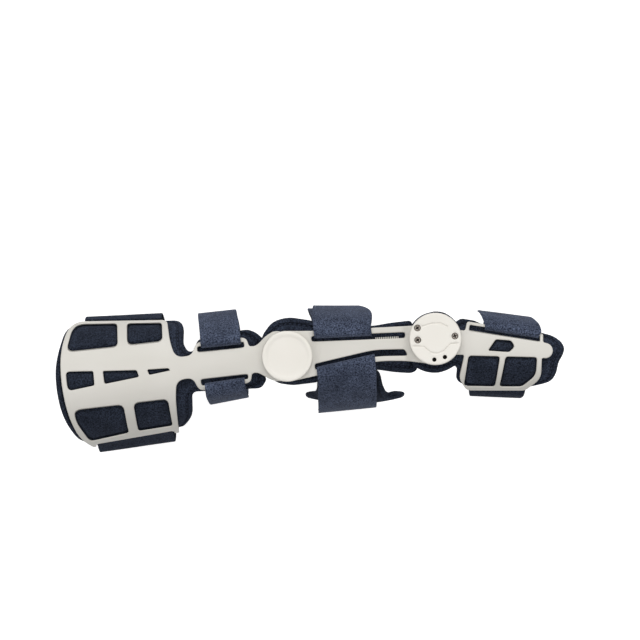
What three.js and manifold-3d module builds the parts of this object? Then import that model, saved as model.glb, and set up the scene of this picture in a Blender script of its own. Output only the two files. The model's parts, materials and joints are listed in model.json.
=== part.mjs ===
// Hinged wrist, hand and finger splint, lying on its far side with its frame plates up.
// Millimetres, +Z up. Three moulded plates (forearm, hand, fingers) turn on two upright hinges,
// each plate has a padded liner under it, and four straps close the hollow that the arm goes through.
// Each plate is drawn in its own axes: u runs towards the fingertips, v towards the back of the hand,
// z is measured up from the plates' outer face.

import * as THREE from 'three';
import { mergeVertices } from 'three/addons/utils/BufferGeometryUtils.js';
import Module from 'manifold-3d';

// Driving dimensions
const PLATE_HEIGHT = 86;
const PLATE_THICKNESS = 2.6;
const PAD_GAP = 0.6;
const PAD_THICKNESS = 5.5;
const STRAP_THICKNESS = 2.2;
const PALM_PAD_THICKNESS = 4.5;
const HINGE_SPAN = 81.8;
const FOREARM_TILT = 5.8;
const HAND_TILT = 6.7;
const FINGER_TILT = -5;

// Hinge stack: a lower disc, the hand plate's disc lifted over it, and a cap on top
const LOWER_DISC_RADIUS = 12;
const HAND_DISC_RADIUS = 14;
const DISC_LIFT = 3;
const RAMP_START = 12.6;
const RAMP_END = 17.6;
const PIN_RADIUS = 3.5;
const PIN_GAP = 0.3;
const CAP_HEIGHT = 3.6;
const WRIST_CAP_RADIUS = 13.7;
const FINGER_CAP_RADIUS = 14.1;
const SCREW_RADIUS = 1.5;
const SCREW_POCKET_DEPTH = 1.3;
const SCREW_HEIGHT = 1.2;
const CAP_HOLE_RADIUS = 1.2;
const CAP_HOLE_DEPTH = 2.2;

// Fineness of the faceted solids
const CORNER_STEPS = 3;
const SMALL_EASE = 1.1;
const ARC_STEP = 20;
const CAP_SIDES = 32;
const SMALL_SIDES = 12;
const FOLD_ANGLE = 17;
const FOLDS = 4;
const STRAP_STEPS = 44;
const PALM_PAD_STEPS = 20;
const MERGE_DISTANCE = 1e-4;
const CUT_TOLERANCE = 1e-6;
// A corner's rounding takes at most this share of the side next to it
const EASE_SHARE = 0.48;
// A cutting tool stands this far over the face that it cuts
const TOOL_PROUD = 1;

const COLOURS = {
  plastic: 0xdddad3,
  cap: 0xece8e0,
  fabric: 0x2b3242,
  pad: 0x1f2532,
  steel: 0x8f8a84,
};

// How each plate is curved: the crest line's place across, the radius round the limb, and any lift
const FOREARM_BEND = [
  { u: -128, crest: -4, radius: 39, lift: 0 },
  { u: -64, crest: -4, radius: 33.5, lift: 0 },
  { u: -50, crest: -1, radius: 34, lift: 0 },
  { u: -22, crest: 0, radius: 40, lift: 0 },
  { u: -12, crest: 0, radius: Infinity, lift: 0 },
];
const HAND_BEND = [
  { u: RAMP_START, crest: 0, radius: Infinity, lift: DISC_LIFT },
  { u: RAMP_END, crest: 0, radius: Infinity, lift: 0 },
  { u: HINGE_SPAN - RAMP_END, crest: 0, radius: Infinity, lift: 0 },
  { u: HINGE_SPAN - RAMP_START, crest: 0, radius: Infinity, lift: DISC_LIFT },
];
const FLAT_BEND = [{ u: 0, crest: 0, radius: Infinity, lift: 0 }];
const FINGER_BEND = [
  { u: 4, crest: -5, radius: Infinity, lift: 0 },
  { u: 21, crest: -5.4, radius: 25, lift: 0 },
  { u: 72, crest: -4, radius: 25, lift: 0 },
];

// Outlines as seen along the hinges: a row is a corner with how far its rounding reaches,
// or an arc about the row's point that turns from one angle to another, in degrees
const FOREARM_OUTLINE = [
  { u: 0, v: 0, arc: LOWER_DISC_RADIUS, turn: [-130, 138] },
  { u: -17.8, v: 6.4, ease: 3 },
  { u: -20.4, v: 7.6, ease: 1 },
  { u: -21.6, v: 12.8, ease: 3 },
  { u: -49.3, v: 12.9, ease: 3 },
  { u: -52.4, v: 5.8, ease: 3 },
  { u: -61.2, v: 5.6, ease: 4.5 },
  { u: -63.6, v: 14, ease: 5 },
  { u: -64.6, v: 26.8, ease: 2.5 },
  { u: -118.5, v: 31.4, ease: 8 },
  { u: -124.6, v: 15, ease: 9 },
  { u: -125.3, v: -4, ease: 9 },
  { u: -123.5, v: -21, ease: 8 },
  { u: -119.3, v: -34.5, ease: 6 },
  { u: -112, v: -41.2, ease: 1.5 },
  { u: -110.6, v: -38.4, ease: 0.6 },
  { u: -67.5, v: -35.3, ease: 0.6 },
  { u: -66.9, v: -37.4, ease: 0.6 },
  { u: -64.5, v: -37.2, ease: 0.8 },
  { u: -63.5, v: -17, ease: 4 },
  { u: -62, v: -7.2, ease: 4.5 },
  { u: -53, v: -6.6, ease: 3.5 },
  { u: -50.2, v: -14.4, ease: 3.5 },
  { u: -21.4, v: -12.6, ease: 3 },
  { u: -20.3, v: -7.6, ease: 1 },
  { u: -17.6, v: -6.2, ease: 3 },
];
const FOREARM_WINDOWS = [
  [
    { u: -92.4, v: 27.6, ease: 1.5 },
    { u: -116.5, v: 29.6, ease: 6 },
    { u: -121.3, v: 14.5, ease: 4.5 },
    { u: -92.6, v: 14.6, ease: 2.5 },
  ],
  [
    { u: -67.6, v: 25.6, ease: 1.5 },
    { u: -87, v: 27.1, ease: 1.5 },
    { u: -87.3, v: 14.8, ease: 2.5 },
    { u: -67.8, v: 15, ease: 2.5 },
  ],
  [
    { u: -107.1, v: 2.7, ease: 0.8 },
    { u: -122.3, v: 3.9, ease: 2.5 },
    { u: -122.1, v: -7, ease: 3 },
    { u: -107.2, v: -5.3, ease: 0.8 },
  ],
  [
    { u: -83.3, v: 0.8, ease: 0.8 },
    { u: -101.9, v: 2.2, ease: 0.8 },
    { u: -101.6, v: -5.1, ease: 0.8 },
    { u: -82.3, v: -3.1, ease: 0.8 },
  ],
  [
    { u: -65.7, v: 0.1, ease: 0.6 },
    { u: -77.5, v: 0.5, ease: 0.6 },
    { u: -76.7, v: -2.6, ease: 0.6 },
    { u: -64.9, v: -1.3, ease: 0.4 },
  ],
  [
    { u: -92.6, v: -17.4, ease: 2.5 },
    { u: -120.4, v: -17.7, ease: 4.5 },
    { u: -119.4, v: -25.5, ease: 3 },
    { u: -114, v: -36.4, ease: 2.5 },
    { u: -91.9, v: -33.7, ease: 1 },
  ],
  [
    { u: -67.9, v: -16.8, ease: 2 },
    { u: -87.1, v: -17.1, ease: 2 },
    { u: -86.6, v: -33.3, ease: 1 },
    { u: -67.3, v: -32.2, ease: 1 },
  ],
  [
    { u: -23, v: 10.4, ease: 1 },
    { u: -49, v: 10.4, ease: 1 },
    { u: -49, v: 7.2, ease: 1 },
    { u: -23, v: 7.2, ease: 1 },
  ],
  [
    { u: -22.6, v: -7.6, ease: 1 },
    { u: -48.8, v: -7.9, ease: 1 },
    { u: -48.6, v: -11.6, ease: 1 },
    { u: -22.6, v: -10.4, ease: 1 },
  ],
];
const FOREARM_PAD_OUTLINE = [
  { u: -12.7, v: -11.8, ease: 1.5 },
  { u: -17.4, v: -1, ease: 4 },
  { u: -20.8, v: 5, ease: 3 },
  { u: -16.4, v: 14, ease: 1.5 },
  { u: -19, v: 17.4, ease: 2.5 },
  { u: -49, v: 15.6, ease: 3 },
  { u: -55.2, v: 14.4, ease: 2 },
  { u: -56, v: 26.2, ease: 5 },
  { u: -66.2, v: 26, ease: 0.8 },
  { u: -66.8, v: 22, ease: 0.5 },
  { u: -112.2, v: 24, ease: 0.5 },
  { u: -112.8, v: 28.6, ease: 0.8 },
  { u: -121.5, v: 28.4, ease: 5.5 },
  { u: -127, v: 10, ease: 9 },
  { u: -127.6, v: -6, ease: 8 },
  { u: -125.6, v: -23, ease: 8 },
  { u: -120, v: -36.5, ease: 5 },
  { u: -112.8, v: -38.6, ease: 0.8 },
  { u: -112.2, v: -32, ease: 0.5 },
  { u: -66.8, v: -30, ease: 0.5 },
  { u: -66.2, v: -34, ease: 0.8 },
  { u: -57, v: -33.4, ease: 5 },
  { u: -54.2, v: -15, ease: 3 },
  { u: -22, v: -16.8, ease: 2 },
  { u: -16.2, v: -16.8, ease: 2.5 },
];
const HAND_OUTLINE = [
  { u: 0, v: 0, arc: HAND_DISC_RADIUS, turn: [90, 270] },
  { u: 14, v: -12.6, ease: 6 },
  { u: 49, v: -8.3, ease: 8 },
  { u: 66, v: -10.4, ease: 5 },
  { u: HINGE_SPAN, v: 0, arc: HAND_DISC_RADIUS, turn: [-108, 142] },
  { u: 16, v: 12.1, ease: 8 },
];
const HAND_SLOTS = [
  [
    { u: 14.3, v: 9.4, ease: 1.2 },
    { u: 14.2, v: 6.4, ease: 1.2 },
    { u: 65.6, v: 2.4, ease: 1.2 },
    { u: 65.8, v: 5.6, ease: 1.2 },
  ],
  [
    { u: 14.4, v: -6, ease: 1 },
    { u: 14.4, v: -9.3, ease: 1 },
    { u: 48.5, v: -5.4, ease: 6 },
    { u: 65.8, v: -7.1, ease: 1.2 },
    { u: 64.6, v: -3.9, ease: 1.2 },
    { u: 48, v: -2.3, ease: 6 },
  ],
];
const HAND_PAD_OUTLINE = [
  { u: -14.4, v: -6, ease: 3 },
  { u: -7.6, v: -14, ease: 3 },
  { u: 1, v: -16.4, ease: 3 },
  { u: 14, v: -16.3, ease: 3 },
  { u: 46, v: -12.6, ease: 4 },
  { u: 58, v: -15.9, ease: 3 },
  { u: 68.6, v: -17.4, ease: 2.5 },
  { u: 69.6, v: -15.6, ease: 1 },
  { u: 63.4, v: -7, ease: 3 },
  { u: 62.3, v: 1, ease: 3 },
  { u: 67.5, v: 11, ease: 1.5 },
  { u: 58, v: 11.6, ease: 3 },
  { u: 48, v: 11, ease: 4 },
  { u: 19, v: 14.6, ease: 2 },
  { u: 15, v: 16.8, ease: 2 },
  { u: 3, v: 20.8, ease: 4 },
  { u: -6, v: 19.6, ease: 4 },
  { u: -13, v: 12, ease: 4 },
  { u: -15, v: 2, ease: 3 },
];
const FINGER_OUTLINE = [
  { u: 0, v: 0, arc: LOWER_DISC_RADIUS, turn: [31, 320] },
  { u: 12.4, v: -7.7, ease: 1.5 },
  { u: 16.8, v: -7.4, ease: 1 },
  { u: 15.2, v: -21, ease: 3 },
  { u: 20.2, v: -27.2, ease: 2 },
  { u: 52.6, v: -24.4, ease: 2 },
  { u: 60.2, v: -17, ease: 4 },
  { u: 59.5, v: -5.3, ease: 1 },
  { u: 64.6, v: -5.4, ease: 4 },
  { u: 65, v: 3, ease: 4 },
  { u: 59.5, v: 3.5, ease: 0.8 },
  { u: 59.3, v: 8.3, ease: 0.8 },
  { u: 17, v: 11.4, ease: 1.2 },
  { u: 16.2, v: 6.1, ease: 1 },
];
const FINGER_WINDOWS = [
  [
    { u: 18.6, v: 9.2, ease: 0.6 },
    { u: 18.3, v: 6.2, ease: 0.6 },
    { u: 57.8, v: 3.5, ease: 0.6 },
    { u: 57.6, v: 6.7, ease: 0.6 },
  ],
  [
    { u: 29.6, v: -3.9, ease: 0.8 },
    { u: 41.4, v: -3.7, ease: 1 },
    { u: 44, v: -0.6, ease: 1.2 },
    { u: 42, v: 2.2, ease: 1.4 },
    { u: 33.4, v: 2.1, ease: 1 },
  ],
  [
    { u: 19.2, v: -7.6, ease: 0.8 },
    { u: 18.3, v: -24.2, ease: 2 },
    { u: 35.6, v: -22.9, ease: 1 },
    { u: 36.5, v: -6.5, ease: 0.8 },
  ],
  [
    { u: 39.6, v: -6.3, ease: 0.8 },
    { u: 38, v: -22.6, ease: 1 },
    { u: 50.4, v: -21.6, ease: 1.5 },
    { u: 57.2, v: -15.5, ease: 3.5 },
    { u: 56.9, v: -5.2, ease: 0.8 },
  ],
];
const FINGER_PAD_OUTLINE = [
  { u: 0, v: 0, arc: 14.8, turn: [42, 190] },
  { u: -12.8, v: -10.5, ease: 4 },
  { u: 0, v: 0, arc: 18.8, turn: [236, 307] },
  { u: 13.6, v: -16.4, ease: 0.6 },
  { u: 13.6, v: -22, ease: 2.5 },
  { u: 20.6, v: -20.8, ease: 0.6 },
  { u: 53.4, v: -17.8, ease: 0.6 },
  { u: 54.2, v: -21.4, ease: 0.8 },
  { u: 66, v: -19.6, ease: 3.5 },
  { u: 68.4, v: -7, ease: 3 },
  { u: 71.9, v: 0, ease: 3 },
  { u: 64, v: 6.6, ease: 2 },
  { u: 57, v: 9, ease: 1 },
  { u: 27, v: 10.6, ease: 2 },
  { u: 21, v: 12.2, ease: 2 },
  { u: 13.6, v: 12.2, ease: 2.5 },
];

// Strap courses: a row is a fold line across the strap, where a pair gives its two edges
const FOREARM_STRAP = {
  u: [-111, -68],
  rows: [
    { v: [23.4, 21.3], z: -20 },
    { v: [25.6, 23.1], z: -24 },
    { v: [29.4, 27.2], z: -30 },
    { v: [31.8, 29.8], z: -38 },
    { v: [31.4, 29.4], z: -50 },
    { v: [26, 24.5], z: -68 },
    { v: [15, 14], z: -81.5 },
    { v: 4, z: -84.9 },
    { v: -14, z: -84.9 },
    { v: [-25, -24], z: -81.5 },
    { v: [-36.5, -35], z: -68 },
    { v: [-42, -40.2], z: -50 },
    { v: [-42.4, -40.6], z: -38 },
    { v: [-38.4, -36], z: -30 },
    { v: [-33.6, -31.1], z: -24 },
    { v: [-31.4, -29.3], z: -20 },
  ],
};
const WRIST_STRAP = {
  u: [-46.8, -24.6],
  rows: [
    { v: 8.4, z: -3 },
    { v: 8.8, z: -0.6 },
    { v: 10.4, z: 0.6 },
    { v: 12.9, z: -0.2 },
    { v: 16, z: -2.4 },
    { v: 21.2, z: -9 },
    { v: 26, z: -19 },
    { v: 27.6, z: -30 },
    { v: 26, z: -46 },
    { v: 18, z: -61 },
    { v: 6, z: -67 },
    { v: 0, z: -67 },
    { v: -12, z: -61 },
    { v: -20, z: -46 },
    { v: -21.6, z: -31 },
    { v: -21.2, z: -19 },
    { v: -19.4, z: -9 },
    { v: [-17, -16.2], z: -2.8 },
    { v: [-13.9, -12.6], z: 0.4 },
    { v: [-11, -10.4], z: 0.8 },
    { v: [-9.6, -9.1], z: -0.8 },
    { v: [-9.3, -8.6], z: -3 },
  ],
};
const PALM_STRAP = {
  u: [16, 47.6],
  rows: [
    { v: [7.8, 5.4], z: -2.4 },
    { v: [7.8, 5.4], z: [1.4, 0.2] },
    { v: [9.7, 7.3], z: [2.9, 1.7] },
    { v: [12.6, 10.8], z: [2.5, 1.6] },
    { v: [16.2, 13.4], z: [-0.6, -1.6] },
    { v: [21.2, 17.8], z: -9 },
    { v: [24.2, 21], z: -22 },
    { v: [24.6, 22.4], z: -36 },
    { v: [22, 20.5], z: -55 },
    { v: [15, 14], z: -75 },
    { v: 5, z: -84.9 },
    { v: -14, z: -84.9 },
    { v: -25, z: -75 },
    { v: -31.2, z: -55 },
    { v: -32.2, z: -36 },
    { v: [-30.5, -29.5], z: -20 },
    { v: [-24.2, -21.2], z: -8 },
    { v: [-17.2, -13.6], z: [-0.6, -1.6] },
    { v: [-12.8, -9], z: [2.7, 1.7] },
    { v: [-9.4, -5.9], z: [2.9, 1.7] },
    { v: [-7.5, -4.2], z: [1.4, 0.2] },
    { v: [-7.5, -4.2], z: -2.4 },
  ],
};
const FINGER_STRAP = {
  u: [21.5, 52.5],
  rows: [
    { u: [27, 57], v: [6, 4.3], z: [-5.4, -4.2] },
    { u: [27, 57], v: [7.6, 5.5], z: [-2.2, -0.8] },
    { u: [27, 57], v: [9.2, 7], z: [-1.9, -0.4] },
    { u: [27, 57], v: [11.3, 9], z: [-3.4, -1.4] },
    { u: [27, 57], v: [13.6, 11.5], z: [-6.8, -4.6] },
    { u: [26, 56.4], v: [15.6, 14.4], z: -13 },
    { u: [24.2, 54.6], v: [16.2, 15.2], z: -22 },
    { u: [22.5, 53], v: [16, 15], z: -40 },
    { v: 12.6, z: -62 },
    { v: 6, z: -79 },
    { v: -1, z: -84.9 },
    { v: -13, z: -84.9 },
    { v: -21.5, z: -78 },
    { v: [-27.4, -26.4], z: -60 },
    { v: [-28.9, -27.4], z: -40 },
    { v: [-28.4, -26.9], z: -28 },
    { v: [-26.6, -24.6], z: [-20.5, -18] },
    { v: [-22.7, -20.3], z: [-15.2, -12.9] },
    { v: [-20.9, -18.2], z: [-12.6, -10.7] },
  ],
};
const PALM_PAD = {
  rows: [
    { u: [13, 49], v: -18.4, z: -11.5 },
    { u: [11, 51.5], v: -24, z: -19 },
    { u: [7, 57], v: -27, z: -28 },
    { u: [5.5, 62], v: -28, z: -39 },
    { u: [5.5, 62], v: -27.2, z: -52 },
    { u: [8, 60], v: -24.2, z: -63 },
  ],
};

// Cap sections, from the axis below to the axis above: distance from the axis and height over the base
const WRIST_CAP_SECTION = [
  { r: 0, h: 0 },
  { r: WRIST_CAP_RADIUS - 0.4, h: 0 },
  { r: WRIST_CAP_RADIUS, h: 0.5 },
  { r: WRIST_CAP_RADIUS, h: 2.3 },
  { r: WRIST_CAP_RADIUS - 0.9, h: 3.3 },
  { r: WRIST_CAP_RADIUS - 2, h: CAP_HEIGHT },
  { r: WRIST_CAP_RADIUS - 3.6, h: CAP_HEIGHT - 0.1 },
  { r: WRIST_CAP_RADIUS - 4.6, h: CAP_HEIGHT - 0.6 },
  { r: 0, h: CAP_HEIGHT - 0.6 },
];
const FINGER_CAP_SECTION = [
  { r: 0, h: 0 },
  { r: FINGER_CAP_RADIUS - 0.4, h: 0 },
  { r: FINGER_CAP_RADIUS, h: 0.5 },
  { r: FINGER_CAP_RADIUS, h: 2.4 },
  { r: FINGER_CAP_RADIUS - 0.7, h: 3.3 },
  { r: FINGER_CAP_RADIUS - 1.6, h: CAP_HEIGHT },
  { r: 0, h: CAP_HEIGHT },
];
const SCREW_SECTION = [
  { r: 0, h: 0 },
  { r: SCREW_RADIUS, h: 0 },
  { r: SCREW_RADIUS, h: SCREW_HEIGHT - 0.3 },
  { r: SCREW_RADIUS - 0.4, h: SCREW_HEIGHT },
  { r: 0, h: SCREW_HEIGHT },
];
const PIN_SECTION = [
  { r: 0, h: 0 },
  { r: PIN_RADIUS, h: 0 },
  { r: PIN_RADIUS, h: PLATE_THICKNESS + DISC_LIFT },
  { r: 0, h: PLATE_THICKNESS + DISC_LIFT },
];
// Places on the finger cap, from its middle
const SCREW_PLACES = [
  { u: -9.1, v: 7.1 },
  { u: -9.7, v: 0.5 },
  { u: 10.8, v: 0.3 },
];
const CAP_HOLE_PLACES = [
  { u: -1.9, v: -11.2 },
  { u: 4, v: -10.5 },
];

const wasm = await Module();
wasm.setup();

/** Returns both ends of a value that is either one number or a pair. */
function pair(value) {
  return Array.isArray(value) ? value : [value, value];
}

/** Builds a mesh's geometry from loose triangles, merged and with no flat ones left. */
function closedGeometry(points) {
  const loose = new THREE.BufferGeometry();
  loose.setAttribute('position', new THREE.Float32BufferAttribute(points, 3));
  const merged = mergeVertices(loose, MERGE_DISTANCE);
  const source = merged.getIndex().array;
  const kept = [];
  for (let i = 0; i < source.length; i += 3) {
    const [a, b, c] = [source[i], source[i + 1], source[i + 2]];
    if (a !== b && b !== c && c !== a) kept.push(a, b, c);
  }
  merged.setIndex(kept);
  return merged;
}

/** Reads a bend table at u: the crest's place, the curvature and the lift there. */
function bendAt(rows, u) {
  const last = rows.length - 1;
  const after = rows.findIndex((row) => row.u >= u);
  const high = after < 0 ? last : after;
  const low = after > 0 ? after - 1 : high;
  const span = rows[high].u - rows[low].u;
  const share = span > 0 ? (u - rows[low].u) / span : 0;
  const mix = (a, b) => a + (b - a) * share;
  return {
    crest: mix(rows[low].crest, rows[high].crest),
    curve: mix(1 / rows[low].radius, 1 / rows[high].radius),
    lift: mix(rows[low].lift, rows[high].lift),
  };
}

/** Samples an outline table as points, with its corners rounded and its arcs turned. */
function outlinePoints(rows) {
  const spots = [];
  for (const row of rows) {
    if (row.arc === undefined) {
      spots.push(row);
      continue;
    }
    const [from, to] = row.turn;
    const steps = Math.ceil(Math.abs(to - from) / ARC_STEP);
    const closed = Math.abs(to - from) >= 360;
    for (let i = 0; i < (closed ? steps : steps + 1); i += 1) {
      const angle = THREE.MathUtils.degToRad(from + ((to - from) * i) / steps);
      spots.push({ u: row.u + row.arc * Math.cos(angle), v: row.v + row.arc * Math.sin(angle), ease: 0 });
    }
  }
  const points = [];
  spots.forEach((spot, i) => {
    const corner = new THREE.Vector2(spot.u, spot.v);
    if (spot.ease === 0) {
      points.push(corner);
      return;
    }
    const before = spots[(i + spots.length - 1) % spots.length];
    const after = spots[(i + 1) % spots.length];
    const reach = (other) => {
      const side = new THREE.Vector2(other.u, other.v).sub(corner);
      return corner.clone().addScaledVector(side, Math.min(spot.ease / side.length(), EASE_SHARE));
    };
    const round = new THREE.QuadraticBezierCurve(reach(before), corner, reach(after));
    points.push(...round.getPoints(spot.ease < SMALL_EASE ? 1 : CORNER_STEPS));
  });
  return points;
}

/** Lays an outline's points flat: distance across becomes distance along the curved wall. */
function developed(points, bend, depth) {
  return points.map((point) => {
    const { crest, curve } = bendAt(bend, point.x);
    const across = point.y - crest;
    if (curve === 0) return new THREE.Vector2(point.x, across);
    const sine = THREE.MathUtils.clamp((across * curve) / (1 - depth * curve), -1, 1);
    return new THREE.Vector2(point.x, Math.asin(sine) / curve);
  });
}

/** Cuts loose triangles along the lines where one coordinate has the given values. */
function sliced(triangles, axis, values) {
  let pieces = triangles;
  for (const value of values) {
    const next = [];
    for (const triangle of pieces) {
      const offsets = triangle.map((p) => p[axis] - value);
      const sides = offsets.map((offset) => (Math.abs(offset) < CUT_TOLERANCE ? 0 : Math.sign(offset)));
      if (!(sides.includes(1) && sides.includes(-1))) {
        next.push(triangle);
        continue;
      }
      const rings = { low: [], high: [] };
      for (let i = 0; i < 3; i += 1) {
        const j = (i + 1) % 3;
        if (sides[i] <= 0) rings.low.push(triangle[i]);
        if (sides[i] >= 0) rings.high.push(triangle[i]);
        if (sides[i] * sides[j] < 0) {
          const crossing = crossingPoint(triangle[i], triangle[j], axis, value);
          rings.low.push(crossing);
          rings.high.push(crossing);
        }
      }
      for (const ring of Object.values(rings)) {
        for (let k = 1; k < ring.length - 1; k += 1) next.push([ring[0], ring[k], ring[k + 1]]);
      }
    }
    pieces = next;
  }
  return pieces;
}

/** Finds where an edge crosses a line, the same from either end of the edge. */
function crossingPoint(a, b, axis, value) {
  const [low, high] = a[axis] < b[axis] ? [a, b] : [b, a];
  const point = low.clone().lerp(high, (value - low[axis]) / (high[axis] - low[axis]));
  point[axis] = value;
  return point;
}

/** Bends a flat outline with openings round the limb, as a wall between two depths under the face. */
function bentWall(outline, openings, bend, topDepth, thickness) {
  const shape = new THREE.Shape(developed(outlinePoints(outline), bend, topDepth));
  for (const rows of openings) {
    shape.holes.push(new THREE.Path(developed(outlinePoints(rows), bend, topDepth)));
  }
  const flat = new THREE.ExtrudeGeometry(shape, { depth: thickness, bevelEnabled: false });
  const corners = flat.getAttribute('position');
  let triangles = [];
  for (let i = 0; i < corners.count; i += 3) {
    triangles.push([0, 1, 2].map((k) => new THREE.Vector3().fromBufferAttribute(corners, i + k)));
  }
  const tightest = Math.min(...bend.map((row) => row.radius));
  const pitch = tightest * THREE.MathUtils.degToRad(FOLD_ANGLE);
  const folds = [];
  for (let i = -FOLDS; Number.isFinite(pitch) && i <= FOLDS; i += 1) folds.push(i * pitch);
  triangles = sliced(triangles, 'x', bend.map((row) => row.u));
  triangles = sliced(triangles, 'y', folds);
  const points = [];
  for (const corner of triangles.flat()) {
    const { crest, curve, lift } = bendAt(bend, corner.x);
    const depth = topDepth + thickness - corner.z;
    if (curve === 0) {
      points.push(corner.x, crest + corner.y, lift - depth);
      continue;
    }
    const radius = 1 / curve - depth;
    const angle = corner.y * curve;
    points.push(corner.x, crest + radius * Math.sin(angle), lift - 1 / curve + radius * Math.cos(angle));
  }
  return closedGeometry(points);
}

/** Sweeps a flat strip through its fold lines, with the given thickness about its middle. */
function stripGeometry(strip, thickness, steps) {
  const lowest = thickness / 2 - PLATE_HEIGHT;
  const edges = [0, 1].map((side) => new THREE.CatmullRomCurve3(
    strip.rows.map((row) => new THREE.Vector3(
      pair(row.u ?? strip.u)[side], pair(row.v)[side], pair(row.z)[side],
    )),
    false,
    'centripetal',
  ));
  const sections = [];
  for (let i = 0; i <= steps; i += 1) {
    const [left, right] = edges.map((edge) => edge.getPoint(i / steps));
    left.z = Math.max(left.z, lowest);
    right.z = Math.max(right.z, lowest);
    sections.push({ left, right });
  }
  const rings = sections.map(({ left, right }, i) => {
    const ahead = sections[Math.min(i + 1, steps)];
    const behind = sections[Math.max(i - 1, 0)];
    const along = ahead.left.clone().add(ahead.right).sub(behind.left).sub(behind.right);
    const out = right.clone().sub(left).cross(along).setLength(thickness / 2);
    return [
      left.clone().add(out),
      right.clone().add(out),
      right.clone().sub(out),
      left.clone().sub(out),
    ];
  });
  const points = [];
  const put = (...corners) => corners.forEach((p) => points.push(p.x, p.y, p.z));
  for (let i = 0; i < steps; i += 1) {
    for (let k = 0; k < 4; k += 1) {
      const [a, b] = [rings[i][k], rings[i][(k + 1) % 4]];
      const [c, d] = [rings[i + 1][(k + 1) % 4], rings[i + 1][k]];
      put(a, b, c, a, c, d);
    }
  }
  const [first, end] = [rings[0], rings[steps]];
  put(first[0], first[2], first[1], first[0], first[3], first[2]);
  put(end[0], end[1], end[2], end[0], end[2], end[3]);
  return closedGeometry(points);
}

/** Turns a section about the Z axis into a closed solid. */
function turned(section, sides) {
  const profile = section.map((row) => new THREE.Vector2(row.r, row.h));
  const lathe = new THREE.LatheGeometry(profile, sides).toNonIndexed();
  lathe.rotateX(Math.PI / 2);
  return closedGeometry(lathe.getAttribute('position').array);
}

/** Makes a solid that can be cut from a closed geometry. */
function toSolid(geometry) {
  return new wasm.Manifold(new wasm.Mesh({
    numProp: 3,
    vertProperties: new Float32Array(geometry.getAttribute('position').array),
    triVerts: new Uint32Array(geometry.getIndex().array),
  }));
}

/** Makes a geometry back from a cut solid. */
function fromSolid(solid) {
  const mesh = solid.getMesh();
  const geometry = new THREE.BufferGeometry();
  geometry.setAttribute('position', new THREE.Float32BufferAttribute(mesh.vertProperties, 3));
  geometry.setIndex([...mesh.triVerts]);
  return geometry;
}

/** Sinks a round pocket of the given radius and depth into a cap's top at each place. */
function withPockets(geometry, places, radius, depth) {
  const section = [
    { r: 0, h: 0 },
    { r: radius, h: 0 },
    { r: radius, h: depth + TOOL_PROUD },
    { r: 0, h: depth + TOOL_PROUD },
  ];
  let solid = toSolid(geometry);
  for (const place of places) {
    const tool = turned(section, SMALL_SIDES).translate(place.u, place.v, CAP_HEIGHT - depth);
    solid = solid.subtract(toSolid(tool));
  }
  return fromSolid(solid);
}

/** Makes one named part with its own material. */
function part(name, geometry, color, roughness, metalness = 0) {
  const mesh = new THREE.Mesh(geometry, new THREE.MeshStandardMaterial({ color, roughness, metalness }));
  mesh.name = name;
  return mesh;
}

/** Makes the three plates, which are moulded in one piece with their strap bars and hinge discs. */
function plate(name, outline, openings, bend, discs) {
  const pinHoles = discs.map((u) => [{ u, v: 0, arc: PIN_RADIUS + PIN_GAP, turn: [360, 0] }]);
  const geometry = bentWall(outline, [...openings, ...pinHoles], bend, 0, PLATE_THICKNESS);
  return part(name, geometry, COLOURS.plastic, 0.45);
}

/** Makes a padded liner that follows its plate's inner face. */
function pad(name, outline, bend) {
  const geometry = bentWall(outline, [], bend, PLATE_THICKNESS + PAD_GAP, PAD_THICKNESS);
  return part(name, geometry, COLOURS.pad, 0.95);
}

/** Makes a woven strap along its course. */
function strap(name, course) {
  return part(name, stripGeometry(course, STRAP_THICKNESS, STRAP_STEPS), COLOURS.fabric, 0.9);
}

/** Makes a hinge's hidden pin, from the lower disc's underside to just under the cap. */
function pin(name, u) {
  const mesh = part(name, turned(PIN_SECTION, SMALL_SIDES), COLOURS.steel, 0.4, 1);
  mesh.position.set(u, 0, -PLATE_THICKNESS);
  return mesh;
}

const capBase = DISC_LIFT + PIN_GAP;

/** Builds the forearm cuff with its liner and its two straps. */
function forearmAssembly() {
  const group = new THREE.Group();
  group.rotation.z = THREE.MathUtils.degToRad(FOREARM_TILT);
  group.add(
    plate('forearm_shell', FOREARM_OUTLINE, FOREARM_WINDOWS, FOREARM_BEND, [0]),
    pad('forearm_pad', FOREARM_PAD_OUTLINE, FOREARM_BEND),
    strap('forearm_strap', FOREARM_STRAP),
    strap('wrist_strap', WRIST_STRAP),
  );
  return group;
}

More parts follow.
